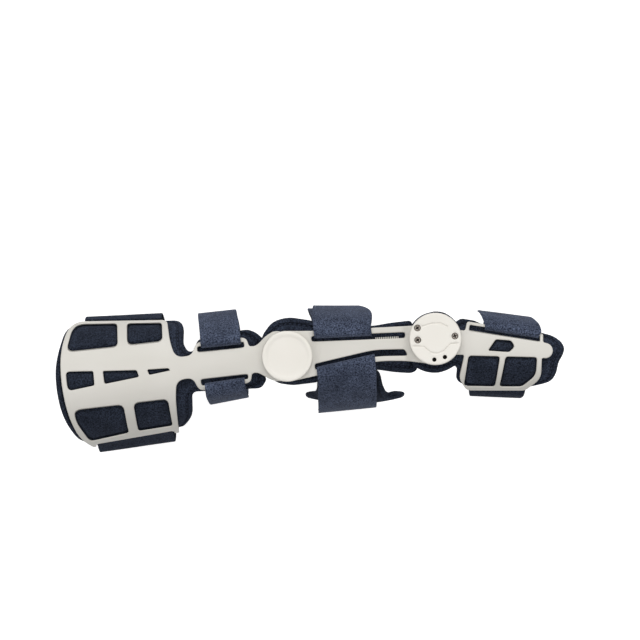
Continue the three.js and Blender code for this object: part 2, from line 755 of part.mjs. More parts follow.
/** Builds the hand plate with both hinge caps, its pads and its strap. */
function handAssembly() {
  const group = new THREE.Group();
  group.rotation.z = THREE.MathUtils.degToRad(HAND_TILT);
  const wristCap = part('wrist_cap', turned(WRIST_CAP_SECTION, CAP_SIDES), COLOURS.cap, 0.4);
  wristCap.position.set(0, 0, capBase);
  const pocketed = withPockets(
    turned(FINGER_CAP_SECTION, CAP_SIDES), SCREW_PLACES, SCREW_RADIUS + PIN_GAP, SCREW_POCKET_DEPTH,
  );
  const fingerCap = part(
    'finger_cap', withPockets(pocketed, CAP_HOLE_PLACES, CAP_HOLE_RADIUS, CAP_HOLE_DEPTH), COLOURS.cap, 0.4,
  );
  fingerCap.position.set(HINGE_SPAN, 0, capBase);
  const palmPad = part(
    'palm_pad', stripGeometry(PALM_PAD, PALM_PAD_THICKNESS, PALM_PAD_STEPS), COLOURS.pad, 0.95,
  );
  group.add(
    plate('hand_plate', HAND_OUTLINE, HAND_SLOTS, HAND_BEND, [0, HINGE_SPAN]),
    pad('hand_pad', HAND_PAD_OUTLINE, FLAT_BEND),
    palmPad,
    strap('palm_strap', PALM_STRAP),
    wristCap,
    fingerCap,
    pin('wrist_pin', 0),
    pin('finger_pin', HINGE_SPAN),
  );
  SCREW_PLACES.forEach((place, i) => {
    const screw = part(`cap_screw_${i + 1}`, turned(SCREW_SECTION, SMALL_SIDES), COLOURS.steel, 0.35, 1);
    const seat = capBase + CAP_HEIGHT - SCREW_POCKET_DEPTH + PIN_GAP;
    screw.position.set(HINGE_SPAN + place.u, place.v, seat);
    group.add(screw);
  });
  return group;
}

/** Builds the finger trough with its liner and its strap. */
function fingerAssembly() {
  const group = new THREE.Group();
  group.position.x = HINGE_SPAN;
  group.rotation.z = THREE.MathUtils.degToRad(FINGER_TILT - HAND_TILT);
  group.add(
    plate('finger_shell', FINGER_OUTLINE, FINGER_WINDOWS, FINGER_BEND, [0]),
    pad('finger_pad', FINGER_PAD_OUTLINE, FINGER_BEND),
    strap('finger_strap', FINGER_STRAP),
  );
  return group;
}

const splint = new THREE.Group();
const hand = handAssembly();
hand.add(fingerAssembly());
splint.add(forearmAssembly(), hand);

// The origin is on the surface it lies on, under the middle of its box
const box = new THREE.Box3().setFromObject(splint, true);
const middle = box.getCenter(new THREE.Vector3());
splint.position.set(-middle.x, -middle.y, -box.min.z);
splint.updateMatrixWorld(true);

export default splint;
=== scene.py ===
"""Looks of a hinged wrist, hand and finger splint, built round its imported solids.

Three moulded plates (forearm, hand, fingers) turn on two upright hinges. Each plate has a padded
liner under it, and four loop-pile straps close the hollow that the arm goes through. Each plate is
drawn in its own axes in millimetres: u runs towards the fingertips, v towards the back of the hand,
and z is measured up from the plates' outer face.
"""

from __future__ import annotations

import json
import logging
import math
from collections.abc import Callable, Sequence
from dataclasses import dataclass, field, replace
from enum import Enum

import bmesh
import bpy
import numpy as np
from mathutils import Matrix, Vector
from mathutils.geometry import delaunay_2d_cdt


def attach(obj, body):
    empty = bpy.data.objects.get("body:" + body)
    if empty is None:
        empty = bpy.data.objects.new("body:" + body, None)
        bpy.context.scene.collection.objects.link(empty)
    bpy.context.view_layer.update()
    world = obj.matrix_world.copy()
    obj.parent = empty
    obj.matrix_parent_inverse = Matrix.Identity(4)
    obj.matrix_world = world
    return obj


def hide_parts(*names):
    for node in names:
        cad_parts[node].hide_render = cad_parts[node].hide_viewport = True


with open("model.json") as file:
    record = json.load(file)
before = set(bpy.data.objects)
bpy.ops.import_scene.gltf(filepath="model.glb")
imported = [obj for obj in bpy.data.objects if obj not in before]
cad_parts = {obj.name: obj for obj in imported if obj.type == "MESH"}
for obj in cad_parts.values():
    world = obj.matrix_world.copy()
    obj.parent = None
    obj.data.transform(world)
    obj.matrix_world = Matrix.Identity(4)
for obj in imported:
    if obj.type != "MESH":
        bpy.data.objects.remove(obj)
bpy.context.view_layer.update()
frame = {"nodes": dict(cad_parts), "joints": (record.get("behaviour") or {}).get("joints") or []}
LOG = logging.getLogger("splint")

# Sizes that the pieces share, in millimetres, with a millimetre in metres
MM = 0.001
PLATE_HEIGHT = 86.0
PLATE_THICKNESS = 2.6
PAD_GAP = 0.6
PAD_THICKNESS = 5.5
STRAP_THICKNESS = 2.2
HINGE_SPAN = 81.8
DISC_LIFT = 3.0
CAP_GAP = 0.3
CAP_HEIGHT = 3.6
PIN_HOLE_RADIUS = 3.8

# How far each plate is turned about its hinge, in degrees
FOREARM_TILT = 5.8
HAND_TILT = 6.7
FINGER_TILT = -5.0

# Straps: the turn round a bar and the step under a flap, as shares of the course, then millimetres
BAR_SHARE = 0.07
FLAP_STEP = 0.05
FLAP_ROUNDING = 7.0
PLY_GAP = 0.2
STRAP_WAVE = 0.1

# The rolls of a strap's surface: lengths along it and across it, and the short roll's share and start
LONG_ROLL = (9.0, 11.0)
SHORT_ROLL = (5.3, 7.0)
SHORT_ROLL_SHARE = 0.6
SHORT_ROLL_START = 1.0

# How finely shapes are cut: degrees of an arc, steps round a corner and numbers of points
ARC_STEP = 4.0
CORNER_STEPS = 8
LEAST_POINTS = 12
LEAST_STATIONS = 6
COURSE_POINTS = 3000
LENGTH_POINTS = 1200

# The most of a side that a corner's rounding takes up
CORNER_REACH = 0.48

# Angles at which rounded edges get points, in degrees: faces, bound rims, and straps' ends and sides
FACE_ANGLES = (20, 40, 60, 80, 95)
RIM_ANGLES = (25, 45, 65, 90)
END_ANGLES = (0, 25, 50, 75)
SIDE_ANGLES = (0, 20, 45, 70, 95)

# Points across a sewn groove, in its widths, and how sharply it falls
GROOVE_PLACES = (-1.0, -0.5, 0.0, 0.5, 1.0, 1.8)
GROOVE_SHARPNESS = 1.6

# The least curvature of a bent wall, the least length to divide by and the reach that joins flat points
FLAT_CURVE = 1e-6
TINY = 1e-9
JOIN_REACH = 1e-7

# Points that one step of a search takes, the millimetres in a UV unit and the seed of random sizes
BLOCK = 1500
UV_UNIT = 100.0
SEED = 7

Array = np.ndarray
Pair = tuple[float, float]
Piece = bpy.types.Object
Material = bpy.types.Material
Tree = bpy.types.NodeTree
Node = bpy.types.Node
Socket = bpy.types.NodeSocket


class Body(Enum):
    """The rigid bodies that the hinges join."""

    FOREARM = "forearm"
    HAND = "hand"
    FINGERS = "fingers"


class Slot(Enum):
    """The record's material slots."""

    PLATE = "plate_plastic"
    CAP = "cap_plastic"
    PAD = "pad_fabric"
    STRAP = "strap_fabric"
    STEEL = "steel"


# Outlines and folding

@dataclass(frozen=True)
class Corner:
    """A corner of an outline, with how far its rounding reaches along each side."""

    u: float
    v: float
    ease: float


@dataclass(frozen=True)
class Arc:
    """A round stretch of an outline about a point, turning between two angles in degrees."""

    u: float
    v: float
    radius: float
    start: float
    end: float


Outline = tuple[Corner | Arc, ...]


@dataclass(frozen=True)
class Bend:
    """How a plate is curved along u: its crest's place, its radius round the limb and its lift."""

    u: tuple[float, ...]
    crest: tuple[float, ...]
    radius: tuple[float, ...]
    lift_u: tuple[float, ...] = (0.0,)
    lift: tuple[float, ...] = (0.0,)

    def at(self, u: Array) -> tuple[Array, Array, Array]:
        """Reads the bend along a plate.

        Args:
            u: Places along the plate.

        Returns:
            The crest's place, the curvature and the lift at each of them.
        """
        curve = [0.0 if math.isinf(r) else 1.0 / r for r in self.radius]
        return (
            np.interp(u, self.u, self.crest),
            np.interp(u, self.u, curve),
            np.interp(u, self.lift_u, self.lift),
        )

    def developed(self, points: Array, depth: float) -> Array:
        """Lays points seen along the hinges flat, so that v becomes distance along the curved wall.

        Args:
            points: Rows of u and v.
            depth: How far under the outer face the wall lies.

        Returns:
            Rows of u and distance along the wall from its crest.
        """
        crest, curve, _ = self.at(points[:, 0])
        across = points[:, 1] - crest
        tight = np.maximum(curve, TINY)
        sine = np.clip(across * tight / (1.0 - depth * tight), -1.0, 1.0)
        along = np.where(curve > FLAT_CURVE, np.arcsin(sine) / tight, across)
        return np.column_stack([points[:, 0], along])

    def folded(self, flat: Array, depth: Array) -> Array:
        """Folds flat points round the limb.

        Args:
            flat: Rows of u and distance along the wall.
            depth: How far each lies under the outer face.

        Returns:
            Rows of u, v and z in the plate's own axes.
        """
        crest, curve, lift = self.at(flat[:, 0])
        tight = np.maximum(curve, TINY)
        radius = 1.0 / tight - depth
        angle = flat[:, 1] * tight
        round_v = crest + radius * np.sin(angle)
        round_z = lift - 1.0 / tight + radius * np.cos(angle)
        flat_wall = curve <= FLAT_CURVE
        v = np.where(flat_wall, crest + flat[:, 1], round_v)
        z = np.where(flat_wall, lift - depth, round_z)
        return np.column_stack([flat[:, 0], v, z])


@dataclass(frozen=True)
class Axes:
    """A plate's own axes: where its hinge stands in the frame and how far it is turned about it."""

    origin: Vector
    tilt: float

    def placed(self, points: Array) -> Array:
        """Turns points in the plate's axes to the frame.

        Args:
            points: Rows of u, v and z, in millimetres.

        Returns:
            Rows of x, y and z, in metres.
        """
        angle = math.radians(self.tilt)
        cos, sin = math.cos(angle), math.sin(angle)
        u, v = points[:, 0], points[:, 1]
        x = self.origin.x + (u * cos - v * sin) * MM
        y = self.origin.y + (u * sin + v * cos) * MM
        z = self.origin.z + points[:, 2] * MM
        return np.column_stack([x, y, z])


def outline_points(rows: Outline, spacing: float) -> Array:
    """Samples an outline at even steps, with its corners rounded and its arcs turned.

    Args:
        rows: The outline's corners and arcs, in order.
        spacing: The step between points, in millimetres.

    Returns:
        Rows of u and v.
    """
    spots: list[tuple[Array, float]] = []
    for row in rows:
        if isinstance(row, Corner):
            spots.append((np.array([row.u, row.v]), row.ease))
            continue
        turn = abs(row.end - row.start)
        count = math.ceil(turn / ARC_STEP)
        angles = np.radians(np.linspace(row.start, row.end, count + 1))
        for angle in angles[:count] if turn >= 360 else angles:
            middle = np.array([row.u, row.v])
            spots.append((middle + row.radius * np.array([math.cos(angle), math.sin(angle)]), 0.0))
    points: list[Array] = []
    shares = np.linspace(0.0, 1.0, CORNER_STEPS + 1)[:, None]
    for i, (corner, ease) in enumerate(spots):
        if ease == 0.0:
            points.append(corner[None, :])
            continue
        ends = []
        for other in (spots[i - 1][0], spots[(i + 1) % len(spots)][0]):
            side = other - corner
            ends.append(corner + side * min(ease / np.linalg.norm(side), CORNER_REACH))
        points.append(
            (1 - shares) ** 2 * ends[0] + 2 * shares * (1 - shares) * corner + shares**2 * ends[1]
        )
    return resampled(np.vstack(points), spacing)


def resampled(loop: Array, spacing: float) -> Array:
    """Spaces a closed loop's points evenly.

    Args:
        loop: Its points.
        spacing: The step between them, in millimetres.

    Returns:
        The new points.
    """
    closed = np.vstack([loop, loop[:1]])
    reach = np.concatenate([[0.0], np.cumsum(np.linalg.norm(np.diff(closed, axis=0), axis=1))])
    count = max(LEAST_POINTS, round(reach[-1] / spacing))
    places = np.arange(count) * reach[-1] / count
    return np.column_stack([np.interp(places, reach, closed[:, axis]) for axis in range(loop.shape[1])])


def turned_area(loop: Array) -> float:
    """Gives a loop's area, negative where it runs clockwise."""
    ahead = np.roll(loop, -1, axis=0)
    return 0.5 * float(np.sum(loop[:, 0] * ahead[:, 1] - ahead[:, 0] * loop[:, 1]))


def line_distance(points: Array, starts: Array, ends: Array) -> Array:
    """Measures how far each point lies from the nearest of some straight lines.

    Args:
        points: Rows of flat coordinates.
        starts: Where each line starts.
        ends: Where each line ends.

    Returns:
        One distance for each point.
    """
    nearest = np.full(len(points), np.inf)
    side = ends - starts
    length = np.maximum((side**2).sum(axis=1), TINY)
    for first in range(0, len(points), BLOCK):
        block = slice(first, first + BLOCK)
        off = points[block, None, :] - starts[None, :, :]
        share = np.clip((off * side).sum(axis=2) / length, 0.0, 1.0)
        gap = off - share[:, :, None] * side
        nearest[block] = np.sqrt((gap**2).sum(axis=2)).min(axis=1)
    return nearest


def edge_distance(points: Array, loops: Sequence[Array]) -> Array:
    """Measures how far each point lies from the nearest edge of any closed loop."""
    return np.min([line_distance(points, loop, np.roll(loop, -1, axis=0)) for loop in loops], axis=0)


def beside(loop: Array, distance: float) -> Array:
    """Moves a closed loop's points to its left.

    Args:
        loop: Its points.
        distance: How far they move.

    Returns:
        The moved points.
    """
    side = np.roll(loop, -1, axis=0) - np.roll(loop, 1, axis=0)
    side /= np.maximum(np.linalg.norm(side, axis=1, keepdims=True), TINY)
    return loop + distance * np.column_stack([-side[:, 1], side[:, 0]])


def inside(points: Array, loops: Sequence[Array]) -> Array:
    """Tells which points lie inside an outline and outside its openings.

    Args:
        points: Rows of flat coordinates.
        loops: The outline and its openings.

    Returns:
        Whether each point does.
    """
    within = np.zeros(len(points), dtype=bool)
    for loop in loops:
        ahead = np.roll(loop, -1, axis=0)
        rise = ahead[:, 1] - loop[:, 1]
        rise = np.where(np.abs(rise) < TINY, TINY, rise)
        for first in range(0, len(points), BLOCK):
            block = slice(first, first + BLOCK)
            x, y = points[block, :1], points[block, 1:2]
            crosses = (loop[:, 1] > y) != (ahead[:, 1] > y)
            at = loop[:, 0] + (y - loop[:, 1]) * (ahead[:, 0] - loop[:, 0]) / rise
            within[block] ^= ((crosses & (x < at)).sum(axis=1) % 2).astype(bool)
    return within


# Edges of walls

def round_rows(radius: float, angles: Sequence[float]) -> list[float]:
    """Lists how far in from a rounded edge its points at some angles lie."""
    return [radius * (1 - math.cos(math.radians(angle))) for angle in angles]


@dataclass(frozen=True)
class RoundEdge:
    """A moulded edge that is rounded over to the face."""

    radius: float

    def rows(self) -> list[float]:
        """Lists how far in from the edge the wall needs points."""
        return round_rows(self.radius, FACE_ANGLES)

    def drop(self, distance: Array) -> Array:
        """Gives how far the face falls at a distance from the edge."""
        short = np.clip(self.radius - distance, 0.0, self.radius)
        return self.radius - np.sqrt(np.maximum(self.radius**2 - short**2, 0.0))


@dataclass(frozen=True)
class BoundEdge:
    """A padded edge bound with tape: a rolled rim, a sewn groove, then the padding."""

    radius: float
    groove_place: float
    groove_width: float
    groove_depth: float

    def rows(self) -> list[float]:
        """Lists how far in from the edge the wall needs points."""
        groove = [self.groove_place + self.groove_width * place for place in GROOVE_PLACES]
        return round_rows(self.radius, RIM_ANGLES) + groove

    def drop(self, distance: Array) -> Array:
        """Gives how far the face falls near the edge.

        Args:
            distance: How far in from the edge each place lies.

        Returns:
            The fall at each of them.
        """
        rim = RoundEdge(self.radius).drop(distance)
        across = (distance - self.groove_place) / self.groove_width * GROOVE_SHARPNESS
        return rim + self.groove_depth * np.exp(-(across**2))


# Meshes

def new_piece(name: str, points: Array, faces: Sequence[Sequence[int]]) -> Piece:
    """Makes a smooth piece from points in metres and faces.

    Args:
        name: The piece's name.
        points: Rows of x, y and z in the frame.
        faces: The corners of each face.

    Returns:
        The new object, linked to the scene.
    """
    mesh = bpy.data.meshes.new(name)
    mesh.from_pydata(points.tolist(), [], [list(map(int, face)) for face in faces])
    mesh.validate()
    mesh.polygons.foreach_set("use_smooth", [True] * len(mesh.polygons))
    mesh.update()
    piece = bpy.data.objects.new(name, mesh)
    bpy.context.scene.collection.objects.link(piece)
    return piece


def put_uv(piece: Piece, flat: Array) -> None:
    """Gives a piece a UV map.

    Args:
        piece: The piece.
        flat: A flat point, in millimetres, for each vertex.
    """
    layer = piece.data.uv_layers.new(name="UVMap")
    corners = np.zeros(len(piece.data.loops), dtype=np.int32)
    piece.data.loops.foreach_get("vertex_index", corners)
    layer.data.foreach_set("uv", (flat[corners] / UV_UNIT).astype(np.float32).ravel())


def put_attribute(piece: Piece, name: str, values: Array) -> None:
    """Gives a piece one number for each vertex, which its finish reads."""
    attribute = piece.data.attributes.new(name, "FLOAT", "POINT")
    attribute.data.foreach_set("value", values.astype(np.float32))


@dataclass
class Wall:
    """A wall that is drawn flat by its outline and openings and folded round the limb."""

    outline: Outline
    openings: tuple[Outline, ...]
    bend: Bend
    top_depth: float
    thickness: float
    edge: RoundEdge | BoundEdge
    spacing: float = 0.9
    grid: float = 2.4
    extra: Array | None = None
    relief: Callable[[Array], Array] | None = None
    opening_edge: RoundEdge | None = None
    # The share of its distance that an inset point keeps, and the grid's gap from edge rows, in steps
    inset_share: float = 0.96
    grid_clear: float = 0.4
    # Points closer than this are one, in millimetres
    merge_cell: float = 0.12
    # A seam breaks at gaps of this many steps, and a run of fewer points than this is left out
    seam_break: float = 4.0
    seam_least: int = 9
    loops: list[Array] = field(default_factory=list)
    flat: Array | None = None
    rim: Array | None = None

    def __post_init__(self) -> None:
        """Samples the outline and openings and lays them flat, with the material to their left."""
        for i, rows in enumerate((self.outline, *self.openings)):
            loop = self.bend.developed(outline_points(rows, self.spacing), self.top_depth)
            runs_left = turned_area(loop) > 0
            self.loops.append(loop if runs_left == (i == 0) else loop[::-1].copy())

    def inset(self, loop: Array, distance: float) -> Array:
        """Moves a loop's points into the wall and keeps those that stay that far from every edge.

        Args:
            loop: One of the wall's loops.
            distance: How far its points move.

        Returns:
            The points that are kept.
        """
        moved = beside(loop, distance)
        clear = edge_distance(moved, self.loops) > distance * self.inset_share
        return moved[inside(moved, self.loops) & clear]

    def flat_points(self) -> Array:
        """Lists the wall's flat points.

        Returns:
            Its loops, the rows along its edges and a grid between.
        """
        rows = self.edge.rows()
        hole_rows = (self.opening_edge or self.edge).rows()
        inner = [self.inset(self.loops[0], distance) for distance in rows]
        inner += [self.inset(loop, distance) for loop in self.loops[1:] for distance in hole_rows]
        low, high = self.loops[0].min(axis=0), self.loops[0].max(axis=0)
        u, s = np.meshgrid(np.arange(low[0], high[0], self.grid), np.arange(low[1], high[1], self.grid))
        u[1::2] += self.grid / 2
        lattice = np.column_stack([u.ravel(), s.ravel()])
        lattice = lattice[inside(lattice, self.loops)]
        clear = edge_distance(lattice, self.loops) > rows[-1] + self.grid_clear * self.grid
        extra = [] if self.extra is None else [self.extra]
        within = np.vstack([*inner, lattice[clear], *extra])
        cells = np.round(within / self.merge_cell).astype(int)
        _, first = np.unique(cells, axis=0, return_index=True)
        return np.vstack([*self.loops, within[np.sort(first)]])

    def loop_edges(self) -> list[tuple[int, int]]:
        """Lists the edges along every loop.

        Returns:
            The numbers of each edge's two flat points.
        """
        edges: list[tuple[int, int]] = []
        first = 0
        for loop in self.loops:
            edges += [(first + i, first + (i + 1) % len(loop)) for i in range(len(loop))]
            first += len(loop)
        return edges

    def edge_drop(self, flat: Array, rim: Array) -> Array:
        """Gives how far the faces fall towards the edges.

        Args:
            flat: The wall's flat points.
            rim: How far each lies from the nearest edge.

        Returns:
            One depth for each point.
        """
        drop = self.edge.drop(rim)
        if self.opening_edge is None:
            return drop
        to_opening = edge_distance(flat, self.loops[1:])
        holed = to_opening < edge_distance(flat, self.loops[:1])
        return np.where(holed, self.opening_edge.drop(np.minimum(rim, to_opening)), drop)

    def build(self, name: str, axes: Axes) -> Piece:
        """Builds the wall as one closed mesh.

        Args:
            name: The piece's name.
            axes: The plate's own axes.

        Returns:
            The piece, with a UV map and its distance from the edge at each vertex.
        """
        edges = self.loop_edges()
        spots, _, triangles, sources, _, _ = delaunay_2d_cdt(
            [Vector(p) for p in self.flat_points()], edges, [], 0, JOIN_REACH, True
        )
        flat = np.array([tuple(p) for p in spots])
        triangles = np.array(triangles)
        triangles = triangles[inside(flat[triangles].mean(axis=1), self.loops)]
        place = {old: new for new, olds in enumerate(sources) for old in olds}
        rim = edge_distance(flat, self.loops)
        rim[[place[start] for start, _ in edges]] = 0.0
        drop = self.edge_drop(flat, rim)
        cut = 0.0 if self.relief is None else self.relief(flat)
        top = self.bend.folded(flat, self.top_depth + drop + cut)
        low = self.bend.folded(self.drawn(flat), self.top_depth + self.thickness - drop)
        count = len(flat)
        faces: list[Sequence[int]] = [tuple(t) for t in triangles]
        faces += [(t[2] + count, t[1] + count, t[0] + count) for t in triangles]
        for start, end in edges:
            a, b = place[start], place[end]
            faces.append((a, a + count, b + count, b))
        self.flat = flat
        self.rim = rim
        piece = new_piece(name, axes.placed(np.vstack([top, low])), faces)
        put_uv(piece, np.vstack([flat, flat]))
        put_attribute(piece, "rim", np.concatenate([rim, rim]))
        return piece

    def drawn(self, flat: Array) -> Array:
        """Moves the inner face's points so that openings go straight through, as a mould draws them.

        Args:
            flat: The outer face's flat points.

        Returns:
            The inner face's flat points.
        """
        if not self.openings:
            return flat
        seen = self.bend.folded(flat, np.full(len(flat), self.top_depth))[:, :2]
        under = self.bend.developed(seen, self.top_depth + self.thickness)
        outer = edge_distance(flat, self.loops[:1])
        inner = edge_distance(flat, self.loops[1:])
        share = outer / np.maximum(outer + inner, TINY)
        return flat + share[:, None] * (under - flat)

    def groove(self, axes: Axes, distance: float, raise_by: float) -> list[Array]:
        """Lists the places of a seam that runs round the wall's outer edge.

        Args:
            axes: The plate's own axes.
            distance: How far in from the edge the seam lies.
            raise_by: How far over the groove's bottom the thread lies.

        Returns:
            Runs of points in the frame, in metres.
        """
        seam = self.inset(self.loops[0], distance)
        drop = self.edge.drop(np.full(len(seam), distance))
        points = axes.placed(self.bend.folded(seam, self.top_depth + drop - raise_by))
        gaps = np.linalg.norm(np.diff(points, axis=0), axis=1) > self.seam_break * self.spacing * MM
        return [run for run in np.split(points, np.where(gaps)[0] + 1) if len(run) >= self.seam_least]


def pair(value: float | Pair) -> Pair:
    """Gives both ends of a value that is either one number or a pair."""
    return value if isinstance(value, tuple) else (value, value)


@dataclass(frozen=True)
class Fold:
    """A fold line across a strap, where a pair gives its left and its right edge."""

    v: float | Pair
    z: float | Pair
    u: float | Pair | None = None


@dataclass(frozen=True)
class Course:
    """A strap's course: its two edges along u and its fold lines in order."""

    u: Pair
    folds: tuple[Fold, ...]

    def edges(self, count: int) -> tuple[Array, Array]:
        """Samples both edges as smooth curves through the fold lines.

        Args:
            count: How many points each gets.

        Returns:
            The left edge's points and the right edge's.
        """
        sides = []
        for side in (0, 1):
            knots = []
            for fold in self.folds:
                across = self.u if fold.u is None else fold.u
                knots.append([pair(value)[side] for value in (across, fold.v, fold.z)])
            sides.append(smooth_curve(np.array(knots, dtype=float), count))
        return sides[0], sides[1]

    def widened(self, spare: Sequence[tuple[int, float]]) -> Course:
        """Gives the same course with its left edge further out at some of its fold lines.

        Args:
            spare: The fold lines' numbers, each with how far, in millimetres.

        Returns:
            The wider course.
        """
        folds = list(self.folds)
        for number, further in spare:
            fold = folds[number]
            left, right = pair(self.u if fold.u is None else fold.u)
            folds[number] = replace(fold, u=(left - further, right))
        return replace(self, folds=tuple(folds))


def smooth_curve(knots: Array, count: int) -> Array:
    """Runs a centripetal curve through knots.

    Args:
        knots: The points to pass through.
        count: How many points to sample.

    Returns:
        The sampled points.
    """
    ends = np.vstack([2 * knots[0] - knots[1], knots, 2 * knots[-1] - knots[-2]])
    place = np.linspace(0.0, len(knots) - 1.0, count)
    low = np.minimum(place.astype(int), len(knots) - 2)
    share = (place - low)[:, None]
    p0, p1, p2, p3 = (ends[low + k] for k in range(4))
    d0, d1, d2 = (
        np.maximum(np.sqrt(np.linalg.norm(b - a, axis=1, keepdims=True)), TINY)
        for a, b in ((p0, p1), (p1, p2), (p2, p3))
    )
    t1 = ((p1 - p0) / d0 - (p2 - p0) / (d0 + d1) + (p2 - p1) / d1) * d1
    t2 = ((p2 - p1) / d1 - (p3 - p1) / (d1 + d2) + (p3 - p2) / d2) * d1
    cube = 2 * p1 - 2 * p2 + t1 + t2
    square = -3 * p1 + 3 * p2 - 2 * t1 - t2
    return p1 + share * (t1 + share * (square + share * cube))


@dataclass
class Ribbon:
    """A strip of fabric or padding that follows a course, with rounded edges."""

    course: Course
    axes: Axes
    step: float = 1.0
    full_thickness: float = STRAP_THICKNESS
    curl: float = 0.0

    def middle_length(self) -> float:
        """Measures the strip along its middle, in millimetres."""
        left, right = self.course.edges(LENGTH_POINTS)
        return float(np.linalg.norm(np.diff((left + right) / 2, axis=0), axis=1).sum())

    def sampled(self) -> tuple[Array, Array, Array]:
        """Samples the course, held over the floor.

        Returns:
            Its left edge, its right edge and the distance along its middle.
        """
        left, right = self.course.edges(COURSE_POINTS)
        for side in (left, right):
            side[:, 2] = np.maximum(side[:, 2], self.full_thickness / 2 - PLATE_HEIGHT)
        steps = np.linalg.norm(np.diff((left + right) / 2, axis=0), axis=1)
        return left, right, np.concatenate([[0.0], np.cumsum(steps)])

    def rows_between(self, first: float, last: float, half: float) -> Array:
        """Lists where along the course a layer gets rows, closer together at its rounded ends.

        Args:
            first: Where it starts.
            last: Where it ends.
            half: Half its thickness.

        Returns:
            Distances along the course.
        """
        ease = np.array(round_rows(half, END_ANGLES))
        even = np.arange(first + self.step, last - self.step / 2, self.step)
        return np.concatenate([first + ease, even, (last - ease)[::-1]])

    def stations_across(self, width: float, half: float) -> Array:
        """Lists where across the strip a layer gets points, closer together at its rounded sides.

        Args:
            width: The strip's width.
            half: Half its thickness.

        Returns:
            Distances from its left edge.
        """
        edge = np.array(round_rows(half, SIDE_ANGLES))
        count = max(LEAST_STATIONS, round(width / self.step))
        inner = np.linspace(edge[-1], width - edge[-1], count)[1:-1]
        return np.concatenate([edge, inner, (width - edge)[::-1]])

    def rolled(self, rows: Array, stations: Array, wave: float) -> Array:
        """Rolls and curls the strip's surface.

        Args:
            rows: Distances along the course.
            stations: Distances across it.
            wave: How far the surface rolls.

        Returns:
            How far it stands out at each row and station.
        """
        long = np.outer(np.sin(rows / LONG_ROLL[0]), np.cos(stations / LONG_ROLL[1]))
        turn = rows / SHORT_ROLL[0] + SHORT_ROLL_START
        short = np.outer(np.sin(turn), np.sin(stations / SHORT_ROLL[1]))
        across = 2.0 * stations / stations[-1] - 1.0
        return wave * (long + SHORT_ROLL_SHARE * short) + self.curl * across[None, :] ** 2

    def layer(
        self,
        name: str,
        thickness: float,
        offsets: Sequence[Pair] = ((0.0, 0.0),),
        span: Pair = (0.0, 1.0),
        tabs: Pair = (0.0, 0.0),
        wave: float = 0.0,
    ) -> Piece:
        """Builds one layer of the strip.

        Args:
            name: The piece's name.
            thickness: The layer's own thickness.
            offsets: How far outwards its middle lies from the course, at shares of its length.
            span: Where along the course it starts and ends, as shares of its length.
            tabs: The rounding of its corners at the start and at the end.
            wave: How far its surface rolls in and out, in millimetres.

        Returns:
            The piece, with a UV map and its distance from the edge at each vertex.
        """
        left, right, reach = self.sampled()
        first, last = span[0] * reach[-1], span[1] * reach[-1]
        half = thickness / 2
        rows = self.rows_between(first, last, half)
        left, right = (
            np.column_stack([np.interp(rows, reach, side[:, k]) for k in range(3)])
            for side in (left, right)
        )
        across = right - left
        width = np.linalg.norm(across, axis=1)
        out = np.cross(across, np.gradient((left + right) / 2, axis=0))
        out /= np.maximum(np.linalg.norm(out, axis=1, keepdims=True), TINY)
        trim = np.maximum(RoundEdge(tabs[0]).drop(rows - first), RoundEdge(tabs[1]).drop(last - rows))
        mean = float(width.mean())
        stations = self.stations_across(mean, half)
        from_left = trim[:, None] + stations[None, :] / mean * (width - 2 * trim)[:, None]
        middle = left[:, None, :] + across[:, None, :] * (from_left / width[:, None])[:, :, None]
        end_gap = np.minimum(rows - first, last - rows)[:, None]
        side_gap = np.minimum(stations, mean - stations)[None, :]
        swell = RoundEdge(half).drop(side_gap) + RoundEdge(half).drop(end_gap)
        thick = np.maximum(half - swell, 0.0)
        thick[:, [0, -1]] = 0.0
        shares, outs = zip(*offsets)
        offset = np.interp(rows / reach[-1], shares, outs)[:, None]
        lift = (offset + self.rolled(rows, stations, wave))[:, :, None] * out[:, None, :]
        top = middle + lift + thick[:, :, None] * out[:, None, :]
        low = middle + lift - thick[:, :, None] * out[:, None, :]
        rings = np.concatenate([top, low[:, -2:0:-1]], axis=1)
        rings[:, :, 2] = np.maximum(rings[:, :, 2], -PLATE_HEIGHT)
        count, around = rings.shape[:2]
        piece = new_piece(name, self.axes.placed(rings.reshape(-1, 3)), tube_faces(count, around))
        columns = np.concatenate([stations, stations[-2:0:-1]])
        flat = np.stack(np.broadcast_arrays(columns[None, :], rows[:, None]), axis=2)
        put_uv(piece, flat.reshape(-1, 2))
        gap = np.minimum(np.minimum(columns, mean - columns)[None, :], end_gap)
        put_attribute(piece, "rim", np.broadcast_to(gap, (count, around)).ravel())
        return piece


def tube_faces(count: int, around: int) -> list[list[int]]:
    """Lists the faces of a flattened tube: its wall, then the strips that close its two ends.

    Args:
        count: How many rings it has.
        around: How many points each ring has, those of its upper side first.

    Returns:
        The corners of each face.
    """
    index = np.arange(count * around).reshape(count, around)
    ahead = np.roll(index, -1, axis=1)
    faces = np.stack([index[:-1], ahead[:-1], ahead[1:], index[1:]], axis=2).reshape(-1, 4).tolist()
    for ring, flip in ((index[0], False), (index[-1], True)):
        for k in range(around // 2):
            lower = [ring[(around - j) % around] for j in (k, k + 1)]
            face = list(dict.fromkeys([ring[k], *lower, ring[k + 1]]))
            if len(face) > 2:
                faces.append(face[::-1] if flip else face)
    return faces


